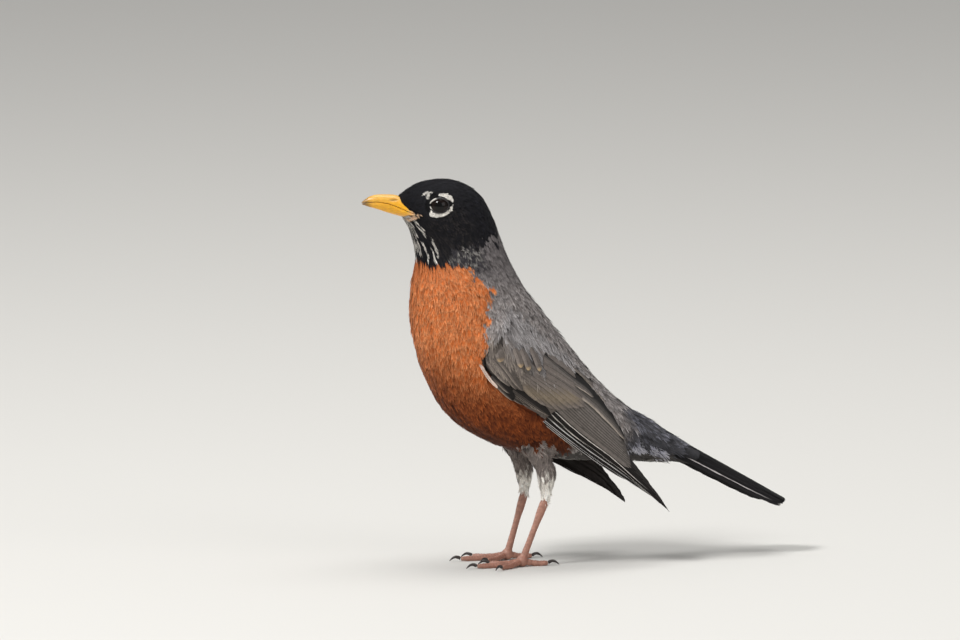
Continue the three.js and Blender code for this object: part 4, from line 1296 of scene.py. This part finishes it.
def ball(side):
    """An eyeball: rings round its pole, which looks out and a little ahead, with the cornea swelled."""
    sign = SIGN[side]
    centre = EYE_CENTRE * [1, sign, 1]
    pole = np.array([-0.22, sign * 0.97, 0.06])
    pole /= np.linalg.norm(pole)
    first = np.cross(pole, [0, 0, 1])
    first /= np.linalg.norm(first)
    second = np.cross(pole, first)
    rings, spokes = np.linspace(0, 1.75, 72), np.linspace(0, 2 * np.pi, 96, endpoint=False)
    polar, turn = np.meshgrid(rings, spokes, indexing="ij")
    swell = 1 + 0.035 * np.cos(np.clip(polar / 0.95, 0, 1) * np.pi / 2) ** 1.5
    sideways = np.cos(turn)[..., None] * first + np.sin(turn)[..., None] * second
    off = np.cos(polar)[..., None] * pole + np.sin(polar)[..., None] * sideways
    points = posed((centre + EYE_RADIUS * off * swell[..., None]).reshape(-1, 3))
    grid = np.arange(polar.size).reshape(polar.shape)
    after = np.roll(grid, -1, 1)
    faces = np.stack([grid[:-1], after[:-1], after[1:], grid[1:]], -1).reshape(-1, 4)
    faces = faces if sign < 0 else faces[:, ::-1]
    ring = smooth(polar, 0.40, 0.44)[..., None]
    rim = smooth(polar, 0.86, 0.98)[..., None]
    fibre = (1 + 0.18 * np.sin(turn * 47 + 3 * np.sin(turn * 9)))[..., None]
    colour = PUPIL * (1 - ring) + IRIS * fibre * ring * (1 - rim) + PUPIL * rim
    uv = 0.5 + 0.27 * polar[..., None] * np.stack([np.cos(turn), np.sin(turn)], -1)
    return make_mesh("eyeball_" + side, points, faces, colour.reshape(-1, 3), uv.reshape(-1, 2))


# %% Lids
def lid(side):
    """A thin rim round the eye's opening, laid on the ball, with its front part pale."""
    sign = SIGN[side]
    turn = np.linspace(0, 2 * np.pi, 97)[:-1]
    radius = EYE_RADIUS + 0.18
    corner = 1 + 0.035 * np.cos(turn) ** 8
    dx = EYE_OPENING[0] - EYE_CENTRE[0] + (EYE_HALF[0] - 0.05) * np.cos(turn) * corner
    dz = EYE_OPENING[1] - EYE_CENTRE[2] + (EYE_HALF[1] - 0.05) * np.sin(turn)
    dy = np.sqrt(np.clip(radius**2 - dx**2 - dz**2, 0.5, None))
    out = np.stack([dx, sign * dy, dz], -1)
    centre = EYE_CENTRE * [1, sign, 1] + out
    out = unit(out)
    run = np.roll(centre, -1, 0) - np.roll(centre, 1, 0)
    run = unit(run)
    side_way = np.cross(out, run) * -sign
    round_way = np.linspace(0, 2 * np.pi, 13)[:-1]
    thick = 0.3 + 0.1 * np.clip(np.sin(turn), 0, 1)
    wave = 1 + 0.06 * np.sin(turn * 31)
    rise = np.cos(round_way)[None, :, None] * out[:, None] * 0.8
    spread = np.sin(round_way)[None, :, None] * side_way[:, None] * 1.25
    points = centre[:, None] + thick[:, None, None] * wave[:, None, None] * (rise + spread)
    grid = np.arange(points.shape[0] * points.shape[1]).reshape(points.shape[:2])
    right, up = np.roll(grid, -1, 0), np.roll(grid, -1, 1)
    faces = np.stack([grid, right, np.roll(right, -1, 1), up], -1).reshape(-1, 4)
    uv = np.stack(np.meshgrid(turn / 6.3, round_way / 6.3, indexing="ij"), -1).reshape(-1, 2)
    front = smooth(np.degrees(turn), 100, 125) * (1 - smooth(np.degrees(turn), 200, 222))
    colours = np.repeat(mix(LID, CHALK * 0.9, front * 0.9), 12, axis=0)
    return make_mesh("eyelid_" + side, posed(points.reshape(-1, 3)), faces, colours, uv)


eyes = {side: (ball(side), lid(side)) for side in SIGN}
print("eyes:", EYE_RADIUS * 2, "mm across")

# %% [markdown]
# ## Bill, legs and claws
# These hard parts keep the shape of their CAD solids. Remeshing them finely and smoothing takes the
# facets off, and small displacements add what the solids leave out: the nostril's slit, the hook at
# the tip of the bill, the rings of scales on the legs and toes, and the pads under the toes.

# %% The bill
BILL_GOLD, BILL_PALE, BILL_TIP = srgb("#eaa912"), srgb("#dca84c"), srgb("#3a2a20")
NOSTRIL = np.array([-59.2, 169.2])  # x and z of its middle


def bill_piece(name):
    """One half of the bill, with its share of the nostril, a hooked tip and a bare pinkish base."""
    points, faces = remeshed([name], 0.22, 6, 0.05)
    p = straight(points)
    dx, dz = p[:, 0] - NOSTRIL[0], p[:, 2] - NOSTRIL[1]
    slit = (dx / 1.9) ** 2 + ((dz - 0.06 * dx) / 0.48) ** 2
    nostril = np.exp(-slit) * (abs(p[:, 1]) > 1.0)
    hook = smooth(-p[:, 0], 65, 74)
    points = points + hook[:, None] * np.array([0.5, 0.0, -0.45])
    points = points - point_normals(points, faces) * (0.45 * nostril)[:, None]
    high = smooth(p[:, 2], 165.5, 171)
    colour = BILL_GOLD + (BILL_PALE - BILL_GOLD) * (high * 0.8)[:, None]
    tip = (1 - smooth(p[:, 0], -72.8, -68.0)) * (0.9 - 0.4 * high)
    base = smooth(p[:, 0], -54, -49.5) * (1 - high)
    colour = colour + (BILL_BASE - colour) * (0.85 * base)[:, None]
    # Painted shade: the nostril's slit is darkened with the tip's colour.
    colour = colour + (BILL_TIP - colour) * np.clip(tip + nostril * 0.6, 0, 1)[:, None]
    uv = np.stack([(p[:, 0] + 76) / 32, 0.5 + np.arctan2(p[:, 1], p[:, 2] - 166) / (2 * np.pi) * 0.9], 1)
    return make_mesh(name, points, faces, colour, uv)


bills = {half: bill_piece("bill_" + half) for half in ("upper", "lower")}
print("bill:", len(bills), "halves")

# %% Legs and toes
LEG, LEG_HIGHLIGHT, LEG_DARK = srgb("#9c6a58"), srgb("#c9a191"), srgb("#6b4438")
TOES = ("inner", "middle", "outer", "hind")
LEG_SCALE, TOE_SCALE, TOE_PAD = 2.6, 1.35, 3.1  # millimetres from one scale or pad to the next


def leg_piece(side):
    """The bare leg and toes of one side."""
    names = ["tarsus_" + side] + [f"toe_{side}_{t}" for t in TOES]
    points, faces = remeshed(names, 0.3, 4, 0.22)
    normals = point_normals(points, faces)
    box = [np.array(c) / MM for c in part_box("tarsus_" + side)]
    foot = np.array([box[0][0] + 2.4, (box[0][1] + box[1][1]) / 2])
    far = np.linalg.norm(points[:, :2] - foot, axis=1)
    toe = (points[:, 2] < 4.2) & (far > 2)
    leg_rings = np.cos(points[:, 2] * 2 * np.pi / LEG_SCALE)
    ring = np.where(toe, np.cos(far * 2 * np.pi / TOE_SCALE), leg_rings)
    top = np.clip(normals[:, 2], 0, 1) * toe + (~toe) * np.clip(-normals[:, 0], 0, 1) * 0.5
    pads = np.clip(-normals[:, 2], 0, 1) * toe * 0.12 * np.cos(far * 2 * np.pi / TOE_PAD)
    points = points + normals * (0.07 * ring * top + pads - 0.16)[:, None]
    points[:, 2] = np.maximum(points[:, 2], 0.0)
    crack = np.clip(-ring, 0, 1) ** 4 * np.clip(top * 2, 0, 1)
    # Painted highlight: the bare legs turn paler where they face forward, towards the lights.
    painted_highlight = np.clip(-normals[:, 0] * 0.7 + 0.3, 0, 1)
    colour = LEG + (LEG_HIGHLIGHT - LEG) * (0.5 * painted_highlight)[:, None]
    colour = colour + (LEG_DARK - colour) * (0.55 * crack)[:, None]
    leg_uv = np.stack([0.1 + 0.2 * painted_highlight, 0.1 + points[:, 2] / 40], 1)
    uv = pick(toe, 0.5 + (points[:, :2] - foot) / 60, leg_uv)
    return make_mesh("leg_" + side, points, faces, colour, np.clip(uv, 0, 1))


# %% Claws
CLAW = srgb("#2e2522")


def claw_piece(side):
    """The four claws of one foot."""
    parts = []
    for toe in TOES:
        parts.append(remeshed([f"claw_{side}_{toe}"], 0.16, 3, 0.05))
    points, faces = joined(parts)
    points[:, 2] = np.maximum(points[:, 2], 0.0)
    colours = CLAW * (0.8 + 0.5 * smooth(points[:, 2], 0, 3))[:, None]
    low, high = points.min(0), points.max(0)
    return make_mesh("claws_" + side, points, faces, colours, (points[:, :2] - low[:2]) / (high - low)[:2])


legs = {side: (leg_piece(side), claw_piece(side)) for side in SIGN}
print("legs and claws made")

# %% [markdown]
# ## Materials
# All of the bird's surfaces are keratin or skin, which are dielectrics, so none is metallic. `add` puts
# a node into a material with its settings and links. The colours painted on the points arrive through
# the attribute named plumage, and fine noise breaks them up at the size of a real barb.

# %% A node with its settings and links
def add(material, kind, **settings):
    """A node of this kind. A setting is a property, a socket's value, or an output to link to it."""
    tree = material.node_tree
    node = tree.nodes.new(kind)
    for name, value in settings.items():
        if hasattr(node, name):
            setattr(node, name, value)
            continue
        socket = node.inputs[name.replace("_", " ")]
        if isinstance(value, bpy.types.NodeSocket):
            tree.links.new(value, socket)
        else:
            socket.default_value = value
    return node


def blank(name):
    """A new material with no nodes yet."""
    material = bpy.data.materials.new(name)
    material.use_nodes = True
    material.node_tree.nodes.clear()
    return material


def finished(material, **settings):
    """The material with its surface, whose settings are given by the names of their sockets."""
    shader = add(material, "ShaderNodeBsdfPrincipled", **settings)
    add(material, "ShaderNodeOutputMaterial", Surface=shader.outputs["BSDF"])
    return material


def painted(material, grain, contrast):
    """The painted colour, lightened and darkened by noise whose grains are this many metres across."""
    where = add(material, "ShaderNodeTexCoord").outputs["Object"]
    noise = add(material, "ShaderNodeTexNoise", Vector=where, Scale=1 / grain, Detail=3.0, Roughness=0.6)
    spread = add(material, "ShaderNodeMapRange", Value=noise.outputs["Fac"], From_Min=0.3, From_Max=0.7,
                 To_Min=1 - contrast, To_Max=1 + contrast)  # fmt: skip
    paint = add(material, "ShaderNodeVertexColor", layer_name="plumage")
    shade = add(material, "ShaderNodeVectorMath", operation="SCALE", Vector=paint.outputs["Color"],
                Scale=spread.outputs["Result"])  # fmt: skip
    return shade.outputs["Vector"], noise.outputs["Fac"]


# %% [markdown]
# ## Plumage and flight feathers
# Body plumage is soft keratin, dull with a faint sheen where light grazes the barbs. A flight feather
# is stiffer and smoother. Its barbs are hooked together in fine parallel ridges, about three to the
# millimetre, and are drawn here at two to the millimetre so that they show.

# %% Feather materials
# Loose barbs of keratin scatter light every way: the eye sees matt cloth, with no highlight.
plumage_keratin = blank("plumage_keratin")
colour, grain = painted(plumage_keratin, 0.0009, 0.16)
bump = add(plumage_keratin, "ShaderNodeBump", Height=grain, Strength=0.35, Distance=0.0002)
finished(plumage_keratin, Base_Color=colour, Roughness=0.7, IOR=1.55, Specular_IOR_Level=0.14,
         Sheen_Weight=0.02, Sheen_Roughness=0.5, Normal=bump.outputs["Normal"])  # fmt: skip

# Barbs hooked into a flat web: a low, silky gloss, broken by ridges and by streaks along the shaft.
BARB_GAP = 0.5  # millimetres from ridge to ridge
WAVES = 0.314  # the wave texture's scale that gives one wave to each unit of its map
flight_keratin = blank("flight_feather_keratin")
colour, grain = painted(flight_keratin, 0.0016, 0.12)
along = add(flight_keratin, "ShaderNodeUVMap", uv_map="barbs").outputs["UV"]
stretched = add(flight_keratin, "ShaderNodeMapping", Vector=along, Scale=(260.0, 3.0, 1.0))
stretched = stretched.outputs["Vector"]
streaks = add(flight_keratin, "ShaderNodeTexNoise", Vector=stretched, Scale=1.0, Detail=2.0)
spread = add(flight_keratin, "ShaderNodeMapRange", Value=streaks.outputs["Fac"],
             From_Min=0.25, From_Max=0.75, To_Min=0.8, To_Max=1.2)  # fmt: skip
colour = add(flight_keratin, "ShaderNodeVectorMath", operation="SCALE", Vector=colour,
             Scale=spread.outputs["Result"]).outputs["Vector"]  # fmt: skip
ridges = add(flight_keratin, "ShaderNodeTexWave", Vector=along, Scale=WAVES / (BARB_GAP * 0.01),
             Distortion=0.6, Detail=1.0)  # fmt: skip
bump = add(flight_keratin, "ShaderNodeBump", Height=ridges.outputs["Fac"], Strength=0.45, Distance=0.00008)
finished(flight_keratin, Base_Color=colour, Roughness=0.55, IOR=1.55, Specular_IOR_Level=0.14,
         Normal=bump.outputs["Normal"])  # fmt: skip
print("feather materials made")

# %% [markdown]
# ## Skin, bill, legs, claws and eyes
# The skin hardly shows. The bill is a thin sheath of horn over bone, the leg scales are like leather,
# and the cornea is the one mirror-smooth surface on the bird. Noise at the size of the real grain
# gives each its small unevenness, so that no texture files are needed.

# %% Hard and bare materials
# Thin bare skin and down between the feathers: dull and slightly rough.
bird_skin = blank("bird_skin")
colour, grain = painted(bird_skin, 0.0012, 0.25)
bump = add(bird_skin, "ShaderNodeBump", Height=grain, Strength=0.4, Distance=0.0003)
finished(bird_skin, Base_Color=colour, Roughness=0.85, IOR=1.45, Specular_IOR_Level=0.2,
         Normal=bump.outputs["Normal"])  # fmt: skip

# A worn sheath of horn, polished by use: warm, with a soft gloss, and it lets a little light in.
bill_horn = blank("bill_horn")
colour, grain = painted(bill_horn, 0.0022, 0.1)
bump = add(bill_horn, "ShaderNodeBump", Height=grain, Strength=0.25, Distance=0.0002)
finished(bill_horn, Base_Color=colour, Roughness=0.34, IOR=1.54, Subsurface_Weight=0.08,
         Subsurface_Scale=0.001, Normal=bump.outputs["Normal"])  # fmt: skip

# Hard scales like fine leather, each about 0.9 mm across: a dry satin with dark cracks between.
leg_scales = blank("leg_scales")
colour, grain = painted(leg_scales, 0.0014, 0.2)
where = add(leg_scales, "ShaderNodeTexCoord").outputs["Object"]
cells = add(leg_scales, "ShaderNodeTexVoronoi", Vector=where, Scale=1 / 0.0009, feature="DISTANCE_TO_EDGE")
bump = add(leg_scales, "ShaderNodeBump", Height=cells.outputs["Distance"], Strength=0.3, Distance=0.0003)
finished(leg_scales, Base_Color=colour, Roughness=0.48, IOR=1.5, Normal=bump.outputs["Normal"])

# Solid dark horn, smoother than the scales: a clear highlight along the curve of each claw.
claw_horn = blank("claw_horn")
colour, grain = painted(claw_horn, 0.001, 0.2)
finished(claw_horn, Base_Color=colour, Roughness=0.36, IOR=1.54)

# Finely wrinkled bare skin: the edge of the eye stays dark and soft beside the shining cornea.
lid_skin = blank("lid_skin")
colour, grain = painted(lid_skin, 0.0005, 0.3)
bump = add(lid_skin, "ShaderNodeBump", Height=grain, Strength=0.5, Distance=0.0001)
finished(lid_skin, Base_Color=colour, Roughness=0.55, IOR=1.45, Normal=bump.outputs["Normal"])

# A film of tears over the clear cornea, whose IOR is 1.376: one small, sharp reflection.
wet_cornea = blank("wet_cornea")
colour, grain = painted(wet_cornea, 0.0006, 0.15)
finished(wet_cornea, Base_Color=colour, Roughness=0.04, IOR=1.376, Specular_IOR_Level=0.4)
print("materials:", [m.name for m in bpy.data.materials])

# %% [markdown]
# ## Hand the pieces to the frame
# Each piece rides on the one body and takes its material, and the CAD nodes that it stands for are hidden.

# %% Ride and replace
def hand_over(piece, material, slot, *replaced):
    """Give a piece its material and its body, and hide the CAD nodes that it stands for. The slot is not
    used.
    """
    piece.data.materials.append(material)
    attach(piece, "root")
    if replaced:
        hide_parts(*replaced)


hand_over(skin, bird_skin, "grey_feathers", *FLESH, *ARMS)
PLUME_SLOTS = {
    "hood_plumage": "black_feathers",
    "throat_plumage": "black_feathers",
    "shin_plumage": "grey_feathers",
    "shoulder_plumage": "grey_feathers",
    "breast_plumage": "rufous_feathers",
    "belly_plumage": "rufous_feathers",
    "mantle_plumage": "grey_feathers",
    "rump_plumage": "pale_feathers",
}
for name, slot in PLUME_SLOTS.items():
    hand_over(plumes[name], plumage_keratin, slot)
hand_over(plumes["tail_feathers"], flight_keratin, "flight_feathers", "tail")
for side in SIGN:
    wing = [f"wing_{side}_secondaries", f"wing_{side}_primaries"]
    hand_over(plumes["wing_feathers_" + side], flight_keratin, "flight_feathers", *wing)
    hand_over(eyes[side][0], wet_cornea, "eye", "eye_" + side)
    hand_over(eyes[side][1], lid_skin, "black_feathers")
    hand_over(legs[side][0], leg_scales, "leg_scales", "tarsus_" + side, *[f"toe_{side}_{t}" for t in TOES])
    hand_over(legs[side][1], claw_horn, "claw", *[f"claw_{side}_{t}" for t in TOES])
for half in ("upper", "lower"):
    hand_over(bills[half], bill_horn, "bill", "bill_" + half)
print("pieces handed over")

# %% [markdown]
# ## Floor, light and camera
# The floor is pale and plain. A large soft light from the upper left models the breast and leaves the
# flank in half shade, a weaker one fills in from the right, and one above and behind rims the back.
# The camera stands eight metres off with a long lens, a little above the bird.

# %% Floor
FLOOR_SIZE = 8  # metres
bpy.ops.mesh.primitive_plane_add(size=FLOOR_SIZE)
floor = bpy.context.object
floor.name = "floor"
floor_paint = blank("matt_floor_paint")
where = add(floor_paint, "ShaderNodeTexCoord").outputs["Object"]
speckle = add(floor_paint, "ShaderNodeTexNoise", Vector=where, Scale=400.0, Detail=2.0)
bump = add(floor_paint, "ShaderNodeBump", Height=speckle.outputs["Fac"], Strength=0.05, Distance=0.0002)
finished(floor_paint, Base_Color=(*srgb("#d6d4cf"), 1), Roughness=0.8, Normal=bump.outputs["Normal"])
floor.data.materials.append(floor_paint)
print("floor:", FLOOR_SIZE, "m across")

# %% Camera
TARGET = Vector((-0.0406, 0.0176, 0.1106))
TO_CAMERA = Vector((-0.3398, -0.9337, 0.1132))
RIGHTWARDS = Vector((0.9397, -0.342, 0.0))
DISTANCE = 8.0  # metres, as far as one stands from a wild bird with a long lens
LENS = 81.83  # millimetres of focal length for each metre of distance
camera = bpy.data.objects.new("camera", bpy.data.cameras.new("camera"))
camera.location = TARGET + TO_CAMERA * DISTANCE
camera.rotation_euler = TO_CAMERA.to_track_quat("Z", "Y").to_euler()
camera.data.lens, camera.data.sensor_width = LENS * DISTANCE, 36.0
bpy.context.scene.collection.objects.link(camera)
bpy.context.scene.camera = camera
print("camera at", [round(v, 3) for v in camera.location])


# %% Lights
def soft_light(name, right, up, near, size, power):
    """A square area light, placed in metres from the bird as the camera sees it."""
    light = bpy.data.objects.new(name, bpy.data.lights.new(name, "AREA"))
    light.data.size, light.data.energy = size, power
    light.location = TARGET + RIGHTWARDS * right + Vector((0, 0, up)) + TO_CAMERA * near
    light.rotation_euler = (light.location - TARGET).to_track_quat("Z", "Y").to_euler()
    bpy.context.scene.collection.objects.link(light)


soft_light("key", -1.5, 2.2, 1.4, 0.8, 72)
soft_light("fill", 2.2, 1.2, 2.0, 2.0, 18)
soft_light("top", 0.2, 2.6, -0.4, 1.6, 30)
world = bpy.data.worlds.new("room")
world.use_nodes = True
world.node_tree.nodes["Background"].inputs["Color"].default_value = (*srgb("#e6e6e6"), 1)
world.node_tree.nodes["Background"].inputs["Strength"].default_value = 0.45
bpy.context.scene.world = world
bpy.context.scene.view_settings.view_transform = "Standard"
